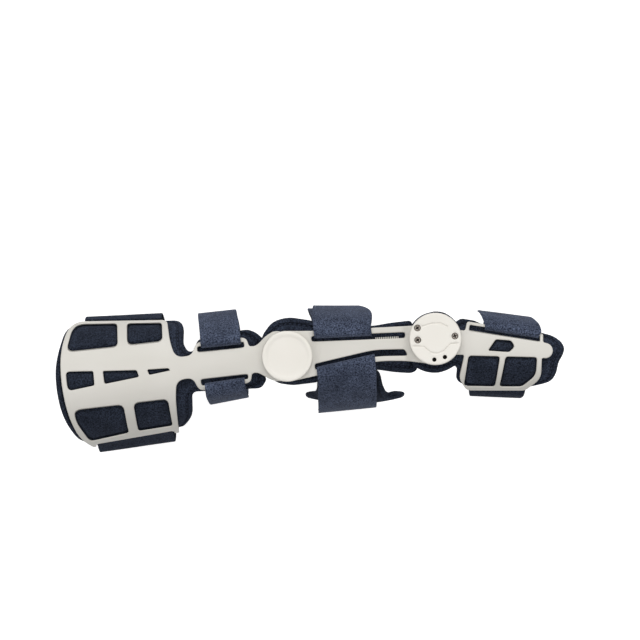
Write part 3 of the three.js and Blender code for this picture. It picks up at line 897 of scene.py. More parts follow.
def turned(
    name: str, section: Sequence[Pair], sides: int, axes: Axes, at: tuple[float, float, float]
) -> Piece:
    """Turns a section about an upright axis into a closed piece.

    Args:
        name: The piece's name.
        section: Distance from the axis and height, from the axis below to the axis above.
        sides: How many steps round.
        axes: The plate's own axes.
        at: Where the axis stands, and the section's base.

    Returns:
        The piece.
    """
    angles = np.arange(sides) * 2 * math.pi / sides
    ring = np.column_stack([np.cos(angles), np.sin(angles), np.zeros(sides)])
    points = [np.array([[0.0, 0.0, section[0][1]]])]
    points += [radius * ring + np.array([0.0, 0.0, height]) for radius, height in section[1:-1]]
    points.append(np.array([[0.0, 0.0, section[-1][1]]]))
    faces: list[Sequence[int]] = []
    rings = len(section) - 2
    final = 1 + rings * sides
    for k in range(sides):
        ahead = (k + 1) % sides
        faces.append((0, 1 + ahead, 1 + k))
        for level in range(rings - 1):
            base = 1 + level * sides
            faces.append((base + k, base + ahead, base + sides + ahead, base + sides + k))
        top = 1 + (rings - 1) * sides
        faces.append((top + k, top + ahead, final))
    return new_piece(name, axes.placed(np.vstack(points) + np.array(at)), faces)


# Finishes

Inputs = dict[str | int, object]
WHITE = (1.0, 1.0, 1.0, 1.0)

# Numbers of sockets that share their names with others of a node: a colour mix, then random values
MIX_FIRST, MIX_SECOND, MIX_RESULT = 6, 7, 2
NUMBER_LOW, NUMBER_HIGH, NUMBER_RESULT = 2, 3, 1
VECTOR_LOW, VECTOR_HIGH, VECTOR_RESULT = 0, 1, 0


def linear(hex_colour: str) -> tuple[float, float, float, float]:
    """Turns an sRGB colour to the linear values that a shader takes.

    Args:
        hex_colour: The colour, as six hex digits after a hash.

    Returns:
        Red, green, blue and a full alpha.
    """
    parts = [int(hex_colour[i : i + 2], 16) / 255.0 for i in (1, 3, 5)]
    values = [c / 12.92 if c <= 0.04045 else ((c + 0.055) / 1.055) ** 2.4 for c in parts]
    return (values[0], values[1], values[2], 1.0)


def give(tree: Tree, node: Node, inputs: Inputs) -> None:
    """Sets or links a node's inputs.

    Args:
        tree: The tree that the node is in.
        node: The node.
        inputs: For each input's name or number, a value or an output to link.
    """
    for name, value in inputs.items():
        if isinstance(value, Socket):
            tree.links.new(value, node.inputs[name])
        else:
            node.inputs[name].default_value = value


def add(tree: Tree, kind: str, inputs: Inputs | None = None, **settings: object) -> Node:
    """Adds a node with its settings, and sets or links its inputs.

    Args:
        tree: The tree that it goes in.
        kind: The node's type name.
        inputs: For each input's name or number, a value or an output to link.
        settings: The node's own settings.

    Returns:
        The new node.
    """
    node = tree.nodes.new(kind)
    for name, value in settings.items():
        setattr(node, name, value)
    give(tree, node, inputs or {})
    return node


def new_material(name: str) -> tuple[Material, Tree, Node]:
    """Makes an empty material with a shader and its output.

    Args:
        name: The material's name.

    Returns:
        The material, its tree and the shader.
    """
    material = bpy.data.materials.new(name)
    material.use_nodes = True
    tree = material.node_tree
    tree.nodes.clear()
    shader = add(tree, "ShaderNodeBsdfPrincipled")
    add(tree, "ShaderNodeOutputMaterial", {"Surface": shader.outputs["BSDF"]})
    return material, tree, shader


def own_place(tree: Tree) -> Socket:
    """Gives places in a piece's own coordinates, which its textures follow."""
    return add(tree, "ShaderNodeTexCoord").outputs["Object"]


def per_mm(size: float) -> float:
    """Gives the texture scale, in object coordinates, of a pattern of a size in millimetres."""
    return 1.0 / (size * MM)


def noise(tree: Tree, place: Socket, size: float, detail: float = 2.0, **more: float) -> Socket:
    """Gives the level, about a half on the whole, of a noise of a size in millimetres."""
    inputs = {"Vector": place, "Scale": per_mm(size), "Detail": detail, **more}
    return add(tree, "ShaderNodeTexNoise", inputs).outputs["Fac"]


def mapped(tree: Tree, level: Socket, start: Pair = (0.0, 1.0), end: Pair = (0.0, 1.0)) -> Socket:
    """Maps a level from one range to another, and holds it at the ends.

    Args:
        tree: The tree that it is in.
        level: The level.
        start: The range that it comes in.
        end: The range that it goes out in.

    Returns:
        The mapped level.
    """
    node = add(tree, "ShaderNodeMapRange", {
        "Value": level, "From Min": start[0], "From Max": start[1], "To Min": end[0], "To Max": end[1],
    })
    return node.outputs["Result"]


def calculated(tree: Tree, operation: str, first: object, second: object) -> Socket:
    """Adds, subtracts, multiplies or divides two values, each a number or an output."""
    return add(tree, "ShaderNodeMath", {0: first, 1: second}, operation=operation).outputs["Value"]


def mixed(tree: Tree, factor: object, first: object, second: object, blend: str = "MIX") -> Socket:
    """Mixes two colours, each a value or an output.

    Args:
        tree: The finish's tree.
        factor: The second colour's share.
        first: One colour.
        second: The other.
        blend: How they are mixed.

    Returns:
        The mixed colour.
    """
    inputs = {"Factor": factor, MIX_FIRST: first, MIX_SECOND: second}
    node = add(tree, "ShaderNodeMix", inputs, data_type="RGBA", blend_type=blend)
    return node.outputs[MIX_RESULT]


def bumped(tree: Tree, level: Socket, strength: float, height: float) -> Socket:
    """Gives the normals of a fine relief that rises with a level, by a height in millimetres."""
    inputs = {"Height": level, "Strength": strength, "Distance": height * MM}
    return add(tree, "ShaderNodeBump", inputs).outputs["Normal"]


@dataclass(frozen=True)
class MouldedPlastic:
    """Nylon or ABS from a textured mould: warm white, satin, with faint flow marks and fine grain."""

    name: str
    colour: str
    shade: str
    roughness: float
    gloss_spread: Pair = (-0.05, 0.07)
    flow_size: float = 38.0
    flow_range: Pair = (0.35, 0.65)
    grain_size: float = 0.7
    grain_detail: float = 3.0
    grain_height: float = 0.012
    grain_strength: float = 0.35
    refraction: float = 1.5

    def material(self) -> Material:
        """Builds the finish.

        Returns:
            Its material.
        """
        material, tree, shader = new_material(self.name)
        place = own_place(tree)
        flow = mapped(tree, noise(tree, place, self.flow_size), self.flow_range)
        grain = noise(tree, place, self.grain_size, self.grain_detail)
        low, high = (self.roughness + change for change in self.gloss_spread)
        give(tree, shader, {
            "Base Color": mixed(tree, flow, linear(self.shade), linear(self.colour)),
            "Normal": bumped(tree, grain, self.grain_strength, self.grain_height),
            "Roughness": mapped(tree, grain, end=(low, high)),
            "IOR": self.refraction,
        })
        return material


@dataclass(frozen=True)
class LoopPile:
    """Brushed loop fabric: dark loops, lighter flecks where they catch the light, and a soft sheen."""

    name: str
    dark: str
    fleck: str
    sheen_colour: str
    fleck_size: float = 1.0
    fleck_roughness: float = 0.6
    fleck_middle: float = 0.5
    loop_size: float = 0.8
    contrast: float = 0.2
    # Patches where the pile is worn or pressed, so that fewer flecks show
    patch_size: float = 9.0
    patch_range: Pair = (0.3, 0.7)
    patch_level: Pair = (0.55, 1.0)
    pile_height: float = 0.3
    pile_strength: float = 0.8
    roughness: float = 0.95
    refraction: float = 1.4
    gloss: float = 0.15
    sheen: float = 0.5
    sheen_roughness: float = 0.45
    # How far in from the edge a seam lies, none at zero, and the tones of painted shade in its groove
    # and on the rolled edge, up to some times as far in
    seam_place: float = 0.0
    seam_reach: float = 3.0
    seam_shade_tones: tuple[Pair, ...] = (
        (0.0, 0.6), (0.2, 0.85), (0.29, 0.42), (0.36, 0.4), (0.46, 1.0), (1.0, 0.68),
    )

    def material(self) -> Material:
        """Builds the finish.

        Returns:
            Its material.
        """
        material, tree, shader = new_material(self.name)
        place = own_place(tree)
        flecks = noise(tree, place, self.fleck_size, Roughness=self.fleck_roughness)
        spread = (self.fleck_middle - self.contrast, self.fleck_middle + self.contrast)
        patches = mapped(tree, noise(tree, place, self.patch_size), self.patch_range, self.patch_level)
        level = calculated(tree, "MULTIPLY", mapped(tree, flecks, spread), patches)
        colour = mixed(tree, level, linear(self.dark), linear(self.fleck))
        # Painted shade in the pads' sewn groove and on the outer side of their rolled edge
        if self.seam_place > 0:
            colour = self.with_painted_seam_shade(tree, colour)
        loops = add(tree, "ShaderNodeTexVoronoi", {"Vector": place, "Scale": per_mm(self.loop_size)})
        height = calculated(tree, "ADD", loops.outputs["Distance"], flecks)
        give(tree, shader, {
            "Base Color": colour,
            "Normal": bumped(tree, height, self.pile_strength, self.pile_height),
            "Roughness": self.roughness,
            "IOR": self.refraction,
            "Specular IOR Level": self.gloss,
            "Sheen Weight": self.sheen,
            "Sheen Roughness": self.sheen_roughness,
            "Sheen Tint": linear(self.sheen_colour),
        })
        return material

    def with_painted_seam_shade(self, tree: Tree, colour: Socket) -> Socket:
        """Paints shade into a sewn seam's groove, darkest there, and onto the outer side of the rolled
        edge, and darkens the middle, which is pressed smooth, a little.

        Args:
            tree: The finish's tree.
            colour: The fabric's colour.

        Returns:
            The colour with the seam.
        """
        rim = add(tree, "ShaderNodeAttribute", attribute_name="rim")
        place = calculated(tree, "DIVIDE", rim.outputs["Fac"], self.seam_reach * self.seam_place)
        shade = add(tree, "ShaderNodeValToRGB", {"Fac": place})
        stops = shade.color_ramp.elements
        while len(stops) < len(self.seam_shade_tones):
            stops.new(1.0)
        for stop, (position, tone) in zip(stops, self.seam_shade_tones):
            stop.position = position
            stop.color = (tone, tone, tone, 1.0)
        return mixed(tree, 1.0, colour, shade.outputs["Color"], "MULTIPLY")


@dataclass(frozen=True)
class TurnedSteel:
    """Plated steel from a lathe: fine turning marks, bright on the crowns; its near-black copy is set in
    recesses as painted shade.
    """

    name: str
    colour: str
    roughness: float
    gloss_spread: Pair = (-0.08, 0.1)
    mark_size: float = 0.5
    mark_detail: float = 4.0
    mark_height: float = 0.02
    mark_strength: float = 0.3
    mark_tone: float = 0.55

    def material(self) -> Material:
        """Builds the finish.

        Returns:
            Its material.
        """
        material, tree, shader = new_material(self.name)
        marks = noise(tree, own_place(tree), self.mark_size, self.mark_detail)
        bright = linear(self.colour)
        dull = tuple(self.mark_tone * part for part in bright[:3]) + (1.0,)
        low, high = (self.roughness + change for change in self.gloss_spread)
        give(tree, shader, {
            "Base Color": mixed(tree, marks, bright, dull),
            "Normal": bumped(tree, marks, self.mark_strength, self.mark_height),
            "Roughness": mapped(tree, marks, end=(low, high)),
            "Metallic": 1.0,
        })
        return material


@dataclass(frozen=True)
class PaleFloor:
    """A matt white studio board, lit a little from behind."""

    name: str
    colour: str
    glow: float
    roughness: float = 0.9
    gloss: float = 0.2
    grain_size: float = 2.0
    grain_height: float = 0.05
    grain_strength: float = 0.1

    def material(self) -> Material:
        """Builds the finish.

        Returns:
            Its material.
        """
        material, tree, shader = new_material(self.name)
        grain = noise(tree, own_place(tree), self.grain_size)
        give(tree, shader, {
            "Base Color": linear(self.colour),
            "Normal": bumped(tree, grain, self.grain_strength, self.grain_height),
            "Roughness": self.roughness,
            "Specular IOR Level": self.gloss,
            "Emission Color": WHITE,
            "Emission Strength": self.glow,
        })
        return material


def dressed(piece: Piece, material: Material, slot: Slot, body: Body, *nodes: str) -> None:
    """Finishes a piece and rides it on its body.

    Args:
        piece: The piece.
        material: Its finish.
        slot: The record's slot that the finish belongs to; not used.
        body: The body that it moves with.
        nodes: The solids that it stands for.
    """
    piece.data.materials.clear()
    piece.data.materials.append(material)
    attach(piece, body.value)
    if nodes:
        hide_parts(*nodes)
    LOG.info("%s: %d faces on %s", piece.name, len(piece.data.polygons), body.value)


# Repeats

class Repeats:
    """Geometry Nodes trees that set a small shape along runs of points or at places."""

    def __init__(self) -> None:
        """Builds both trees."""
        self.along = self.run_tree()
        self.at = self.place_tree()

    @staticmethod
    def new_tree(name: str, inputs: Sequence[tuple[str, str]]) -> tuple[Tree, Node]:
        """Makes a tree with a geometry and named inputs.

        Args:
            name: The tree's name.
            inputs: Each input's name and socket type.

        Returns:
            The tree and its group input node.
        """
        tree = bpy.data.node_groups.new(name, "GeometryNodeTree")
        tree.interface.new_socket("Geometry", in_out="INPUT", socket_type="NodeSocketGeometry")
        for label, kind in inputs:
            tree.interface.new_socket(label, in_out="INPUT", socket_type=kind)
        tree.interface.new_socket("Geometry", in_out="OUTPUT", socket_type="NodeSocketGeometry")
        return tree, tree.nodes.new("NodeGroupInput")

    @staticmethod
    def close_tree(tree: Tree, given: Node, instances: Socket) -> None:
        """Ends a tree by making its instances real and setting their material.

        Args:
            tree: The tree.
            given: Its group input node.
            instances: The instances.
        """
        real = add(tree, "GeometryNodeRealizeInstances", {"Geometry": instances})
        finish = add(
            tree, "GeometryNodeSetMaterial",
            {"Geometry": real.outputs["Geometry"], "Material": given.outputs["Finish"]},
        )
        add(tree, "NodeGroupOutput", {0: finish.outputs["Geometry"]})

    def run_tree(self) -> Tree:
        """Builds the tree that sets a shape along runs of edges, at even steps.

        Returns:
            The tree.
        """
        tree, given = self.new_tree("shape_along_runs", (
            ("Shape", "NodeSocketObject"), ("Spacing", "NodeSocketFloat"),
            ("Finish", "NodeSocketMaterial"), ("Seed", "NodeSocketInt"),
            ("Size Change", "NodeSocketFloat"),
        ))
        runs = add(tree, "GeometryNodeMeshToCurve", {"Mesh": given.outputs["Geometry"]})
        even = add(
            tree, "GeometryNodeResampleCurve",
            {"Curve": runs.outputs["Curve"], "Length": given.outputs["Spacing"]}, mode="LENGTH",
        )
        tangent = add(tree, "GeometryNodeInputTangent")
        turn = add(
            tree, "FunctionNodeAlignRotationToVector", {"Vector": tangent.outputs["Tangent"]}, axis="X"
        )
        shape = add(tree, "GeometryNodeObjectInfo", {"Object": given.outputs["Shape"]})
        least = calculated(tree, "SUBTRACT", 1.0, given.outputs["Size Change"])
        size = add(
            tree, "FunctionNodeRandomValue",
            {NUMBER_LOW: least, NUMBER_HIGH: 1.0, "Seed": given.outputs["Seed"]}, data_type="FLOAT",
        )
        placed = add(
            tree, "GeometryNodeInstanceOnPoints",
            {"Points": even.outputs["Curve"], "Instance": shape.outputs["Geometry"],
             "Rotation": turn.outputs["Rotation"], "Scale": size.outputs[NUMBER_RESULT]},
        )
        self.close_tree(tree, given, placed.outputs["Instances"])
        return tree

    def place_tree(self) -> Tree:
        """Builds the tree that sets a shape at each point, turned about the upright at random.

        Returns:
            The tree.
        """
        tree, given = self.new_tree("shape_at_places", (
            ("Shape", "NodeSocketObject"), ("Finish", "NodeSocketMaterial"), ("Seed", "NodeSocketInt"),
        ))
        turn = add(
            tree, "FunctionNodeRandomValue",
            {
                VECTOR_LOW: (0.0, 0.0, 0.0), VECTOR_HIGH: (0.0, 0.0, math.pi),
                "Seed": given.outputs["Seed"],
            },
            data_type="FLOAT_VECTOR",
        )
        shape = add(tree, "GeometryNodeObjectInfo", {"Object": given.outputs["Shape"]})
        placed = add(
            tree, "GeometryNodeInstanceOnPoints",
            {"Points": given.outputs["Geometry"], "Instance": shape.outputs["Geometry"],
             "Rotation": turn.outputs[VECTOR_RESULT]},
        )
        self.close_tree(tree, given, placed.outputs["Instances"])
        return tree

    @staticmethod
    def made(
        name: str, tree: Tree, runs: Sequence[Array],
        shape: Piece, values: dict[str, object],
    ) -> Piece:
        """Runs a tree on points and keeps the result as a plain mesh.

        Args:
            name: The new piece's name.
            tree: The tree.
            runs: Runs of points in the frame, in metres.
            shape: The shape to repeat, which is removed afterwards.
            values: The tree's other inputs by name.

        Returns:
            The new piece.
        """
        points = np.vstack(runs)
        edges: list[tuple[int, int]] = []
        first = 0
        for run in runs:
            edges += [(first + i, first + i + 1) for i in range(len(run) - 1)]
            first += len(run)
        mesh = bpy.data.meshes.new(name + "_runs")
        mesh.from_pydata(points.tolist(), edges, [])
        carrier = bpy.data.objects.new(name, mesh)
        bpy.context.scene.collection.objects.link(carrier)
        modifier = carrier.modifiers.new("repeat", "NODES")
        modifier.node_group = tree
        for item in tree.interface.items_tree:
            if item.in_out == "INPUT" and item.name in (*values, "Shape"):
                modifier[item.identifier] = shape if item.name == "Shape" else values[item.name]
        bpy.context.view_layer.update()
        evaluated = carrier.evaluated_get(bpy.context.evaluated_depsgraph_get())
        result = bpy.data.meshes.new_from_object(evaluated)
        carrier.modifiers.remove(modifier)
        carrier.data = result
        result.polygons.foreach_set("use_smooth", [True] * len(result.polygons))
        bpy.data.objects.remove(shape)
        return carrier


# Padding

@dataclass
class Puffing:
    """Puffs the liners: pressure inside the cover, held at the seams and under the plates."""

    pressure: float = 4.0
    frames: int = 20
    quality: int = 5
    mass: float = 0.2
    stretch: float = 10.0
    shear: float = 5.0
    bending: float = 0.5
    pads: list[tuple[Piece, float]] = field(default_factory=list)

    def hold(self, pad: Piece, free: Array, cap: float) -> None:
        """Sets a pad up as cloth.

        Args:
            pad: The pad.
            free: Which of its vertices may move.
            cap: The furthest that one may move, in millimetres.
        """
        group = pad.vertex_groups.new(name="held")
        group.add([int(i) for i in np.where(~free)[0]], 1.0, "REPLACE")
        cloth = pad.modifiers.new("puff", "CLOTH")
        settings = cloth.settings
        settings.quality = self.quality
        settings.mass = self.mass
        settings.tension_stiffness = self.stretch
        settings.compression_stiffness = self.stretch
        settings.shear_stiffness = self.shear
        settings.bending_stiffness = self.bending
        settings.vertex_group_mass = "held"
        settings.use_pressure = True
        settings.uniform_pressure_force = self.pressure
        settings.effector_weights.gravity = 0.0
        cloth.collision_settings.use_collision = False
        self.pads.append((pad, cap))

    def run(self) -> None:
        """Steps the cloth, caps how far it moved and keeps the result in the meshes."""
        scene = bpy.context.scene
        for number in range(1, self.frames + 1):
            scene.frame_set(number)
        graph = bpy.context.evaluated_depsgraph_get()
        for pad, cap in self.pads:
            rest = np.array([v.co for v in pad.data.vertices])
            puffed = np.array([v.co for v in pad.evaluated_get(graph).data.vertices])
            move = np.nan_to_num(puffed - rest)
            length = np.linalg.norm(move, axis=1, keepdims=True)
            limited = np.tanh(length / (cap * MM)) * cap * MM
            move *= limited / np.maximum(length, TINY)
            LOG.info("%s puffed by up to %.2f mm", pad.name, float(length.max()) / MM)
            pad.modifiers.remove(pad.modifiers["puff"])
            pad.vertex_groups.clear()
            pad.data.vertices.foreach_set("co", (rest + move).ravel())
            pad.data.update()
        scene.frame_set(1)


# The splint

PLATE_EDGE = RoundEdge(0.55)
PAD_EDGE = BoundEdge(radius=2.2, groove_place=3.3, groove_width=1.1, groove_depth=1.0)
FLAT = Bend(u=(0,), crest=(0,), radius=(math.inf,))
FINGER_HINGE = np.array([HINGE_SPAN, 0.0])

# How a liner dips under its neighbour's, so that the two pass each other at their hinge
LINER_DIP = (0, -0.2, -1, -2.6, -4.6, -6.3, -7.3, -7.6)


@dataclass(frozen=True)
class Finishes:
    """The splint's finishes, made once and shared."""

    plate: Material
    cap: Material
    pad: Material
    strap: Material
    dark_strap: Material
    thread: Material
    steel: Material
    dark_steel: Material

    @classmethod
    def made(cls) -> Finishes:
        """Builds every finish.

        Returns:
            The finishes.
        """
        return cls(
            # Satin plates that catch a soft light along their rounded edges
            plate=MouldedPlastic("moulded_nylon_warm_white", "#DCD9D2", "#D7D4CC", 0.42).material(),
            # Smoother and creamier, so that the hinge caps stand out from the plates
            cap=MouldedPlastic("moulded_abs_cream_white", "#F1EDE5", "#ECE8DF", 0.36).material(),
            # A dark knit with painted shade in the groove along its seam and on its rolled edge, so that
            # the pads read as sewn and stuffed
            pad=LoopPile(
                "brushed_knit_over_foam", "#141821", "#464F62", "#8E9AB8",
                fleck_size=0.75, loop_size=0.6, contrast=0.15, sheen=0.2,
                seam_place=PAD_EDGE.groove_place,
            ).material(),
            # A navy pile whose light flecks and sheen show how the straps turn
            strap=LoopPile(
                "loop_pile_navy", "#191E2B", "#626C84", "#AAB4CC",
                fleck_size=0.7, loop_size=0.6, contrast=0.14, sheen=0.4,
            ).material(),
            # The same pile on its dull side, near black, on the forearm strap; on the finger strap's
            # band the near black is painted shade, where it turns away from the light
            dark_strap=LoopPile(
                "loop_pile_dark_navy", "#11151E", "#363F52", "#8E9AB8",
                fleck_size=0.7, loop_size=0.6, contrast=0.15, sheen=0.08,
            ).material(),
            # A shade lighter than the pads, so that single stitches can be seen
            thread=LoopPile(
                "twisted_navy_thread", "#2A3040", "#4A5268", "#8E9AB8",
                fleck_size=0.4, loop_size=0.3, sheen=0.2,
            ).material(),
            # Bright screw heads
            steel=TurnedSteel("plated_steel", "#B3AAA1", 0.3).material(),
            # Near-black washers and stops: painted shade under the screws' crosses and at the bottom of
            # the cap's holes, so that they look deep
            dark_steel=TurnedSteel("blackened_steel", "#1E1B19", 0.5).material(),
        )


@dataclass(frozen=True)
class Bulges:
    """How a liner swells up into the windows of the plate over it."""

    openings: list[list[Array]]
    height: float = 2.2
    reach: float = 2.2
    gap: float = 0.4
    # Where rows of points follow the swelling, as shares of its reach, and how much of that each keeps
    steps: tuple[float, ...] = (0.0, 0.05, 0.2, 0.5, 1.0)
    kept_share: float = 0.9

    @classmethod
    def into(cls, windows: Sequence[Outline], bend: Bend, depth: float, spacing: float = 1.2) -> Bulges:
        """Lays a plate's windows flat, as they stand at its outer face and at the liner's depth."""
        seen = [outline_points(rows, spacing) for rows in windows]
        return cls([[bend.developed(loop, level) for level in (0.0, depth)] for loop in seen])

    def clearance(self, flat: Array) -> Array:
        """Measures how far inside the windows flat points lie.

        Args:
            flat: The liner's flat points.

        Returns:
            One distance for each, zero outside the windows.
        """
        best = np.zeros(len(flat))
        for faces in self.openings:
            within = np.logical_and.reduce([inside(flat, [loop]) for loop in faces])
            best = np.where(within, edge_distance(flat, faces), best)
        return best

    def cut(self, flat: Array) -> Array:
        """Gives how far the liner's face rises at flat points, as a cut below zero."""
        short = 1.0 - np.clip((self.clearance(flat) - self.gap) / self.reach, 0.0, 1.0)
        return -self.height * np.sqrt(1.0 - short**2)

    def points(self) -> Array | None:
        """Lists the flat points that the swelling needs.

        Returns:
            The points, or none without windows.
        """
        rings = []
        for loop in (loop for faces in self.openings for loop in faces):
            away = -1.0 if turned_area(loop) < 0 else 1.0
            for reach in self.gap + self.reach * np.array(self.steps):
                ring = beside(loop, away * reach)
                rings.append(ring[self.clearance(ring) > self.kept_share * reach])
        return np.vstack(rings) if rings else None


@dataclass
class Assembly:
    """One plate with what is fixed to it."""

    axes: Axes
    body: Body
    finishes: Finishes
    repeats: Repeats
    puffing: Puffing
    fill: float = 0.6
    pad_grid: float = 2.0
    # How far puffing keeps from plates, from seams and from hinges, and how far it goes
    plate_clear: float = 1.2
    seam_clear: float = 1.4
    still_radius: float = 26.0
    puff_cap: float = 0.9
    stitch_spacing: float = 2.6
    stitch_change: float = 0.12
    stitch_raise: float = 0.1
    # Where a flap leaves its bar and where it lies over the band, as shares of the turn round the bar
    bar_turn: Pair = (0.5, 0.9)
    pads: list[tuple[Piece, Wall | None, str]] = field(default_factory=list)

    def plate(
        self, name: str, outline: Outline, openings: tuple[Outline, ...],
        bend: Bend, hinges: Sequence[float],
    ) -> Wall:
        """Builds a moulded plate with its hinge holes.

        Args:
            name: The node that it stands for.
            outline: Its outer outline.
            openings: Its windows and slots.
            bend: How it is curved.
            hinges: Where along it the hinges stand.

        Returns:
            The plate's wall.
        """
        holes = tuple((Arc(u, 0, PIN_HOLE_RADIUS, 0, 360),) for u in hinges)
        wall = Wall(outline, openings + holes, bend, 0.0, PLATE_THICKNESS, PLATE_EDGE)
        piece = wall.build(name + "_moulded", self.axes)
        dressed(piece, self.finishes.plate, Slot.PLATE, self.body, name)
        return wall

    def liner(
        self, name: str, outline: Outline, bend: Bend, plate: Wall,
        hinges: Sequence[float], windows: tuple[Outline, ...] = (),
    ) -> None:
        """Builds a padded liner that is pressed up into a plate's windows, and sets it up to be puffed.

        Args:
            name: The node that it stands for.
            outline: Its outline.
            bend: How it is curved.
            plate: The plate over it, which holds it down.
            hinges: Where along it the hinges stand, where it stays flat for its neighbours.
            windows: The plate's windows that it swells into.
        """
        depth = PLATE_THICKNESS + PAD_GAP
        bulges = Bulges.into(windows, plate.bend, depth)
        wall = Wall(
            outline, (), bend, depth, PAD_THICKNESS, PAD_EDGE,
            grid=self.pad_grid, extra=bulges.points(), relief=bulges.cut,
        )
        piece = wall.build(name + "_padded", self.axes)
        clear = edge_distance(wall.flat, plate.loops) > self.plate_clear
        open_above = clear & ~inside(wall.flat, plate.loops)
        soft = wall.rim > PAD_EDGE.groove_place + self.seam_clear
        for hinge in hinges:
            soft &= np.hypot(wall.flat[:, 0] - hinge, wall.flat[:, 1]) > self.still_radius
        self.puffing.hold(piece, np.concatenate([soft & open_above, soft]), self.puff_cap)
        self.pads.append((piece, wall, name))

    def strap(
        self, name: str, course: Course, flaps: Sequence[Pair], finish: Material,
        inner: Course | None = None, band_finish: Material | None = None,
    ) -> None:
        """Builds a strap: a band round the limb, and flaps that go through a slot and back over it.

        Args:
            name: The node that it stands for.
            course: The strap's course.
            flaps: Where along the course each flap starts and ends, as shares of its length.
            finish: The strap's finish.
            inner: The band's own course, where it differs.
            band_finish: The band's own finish, where it differs.
        """
        half = STRAP_THICKNESS / 4 + PLY_GAP / 2
        thickness = STRAP_THICKNESS / 2 - PLY_GAP / 2
        offsets: list[Pair] = []
        first, last = 0.0, 1.0
        for start, end in flaps:
            if start == 0.0:
                first = BAR_SHARE
                offsets += [(end, -half), (end + FLAP_STEP, half)]
            else:
                last = 1.0 - BAR_SHARE
                offsets += [(start - FLAP_STEP, half), (start, -half)]
        ribbon = Ribbon(inner or course, self.axes)
        band = ribbon.layer(
            name + "_band", thickness, offsets=offsets or [(0.0, half)],
            span=(first, last), wave=STRAP_WAVE,
        )
        dressed(band, band_finish or finish, Slot.STRAP, self.body, name)
        ribbon.middle_length() * (last - first) * MM
        over = Ribbon(course, self.axes)
        leaves, lies = (BAR_SHARE * share for share in self.bar_turn)
        bar = [(leaves, 0.0), (lies, half)]
        for number, (start, end) in enumerate(flaps, 1):
            at_start = start == 0.0
            flap = over.layer(
                f"{name}_flap_{number}", thickness, span=(start, end), wave=STRAP_WAVE,
                offsets=bar if at_start else [(1.0 - share, out) for share, out in bar[::-1]],
                tabs=(0.0, FLAP_ROUNDING) if at_start else (FLAP_ROUNDING, 0.0),
            )
            dressed(flap, finish, Slot.STRAP, self.body)
            length = over.middle_length() * (end - start) * MM

    def dress_pads(self) -> None:
        """Finishes the puffed pads and sews their seams."""
        for piece, wall, node in self.pads:
            dressed(piece, self.finishes.pad, Slot.PAD, self.body, node)
            if wall is None:
                continue
            runs = wall.groove(self.axes, PAD_EDGE.groove_place, self.stitch_raise)
            seam = self.repeats.made(
                node + "_stitches", self.repeats.along, runs, stitch_shape(),
                {
                    "Spacing": self.stitch_spacing * MM, "Finish": self.finishes.thread,
                    "Seed": SEED, "Size Change": self.stitch_change,
                },
            )
            dressed(seam, self.finishes.thread, Slot.PAD, self.body)


def shaped(name: str, made: bmesh.types.BMesh) -> Piece:
    """Makes a small shape about the origin, for a tree to repeat.

    Args:
        name: The shape's name.
        made: What it was made in, which is freed.

    Returns:
        The shape.
    """
    mesh = bpy.data.meshes.new(name)
    made.to_mesh(mesh)
    made.free()
    shape = bpy.data.objects.new(name, mesh)
    bpy.context.scene.collection.objects.link(shape)
    return shape


def stitch_shape(half_length: float = 0.95, radius: float = 0.26) -> Piece:
    """Makes one stitch: a slim grain of thread that lies along X.

    Args:
        half_length: Half its length, in millimetres.
        radius: Half its thickness.

    Returns:
        The stitch.
    """
    made = bmesh.new()
    bmesh.ops.create_uvsphere(made, u_segments=8, v_segments=5, radius=1.0)
    stretch = Matrix.Diagonal((half_length * MM, radius * MM, radius * MM, 1.0))
    turn = Matrix.Rotation(math.pi / 2, 4, "Y")
    bmesh.ops.transform(made, matrix=stretch @ turn, verts=made.verts)
    return shaped("stitch", made)


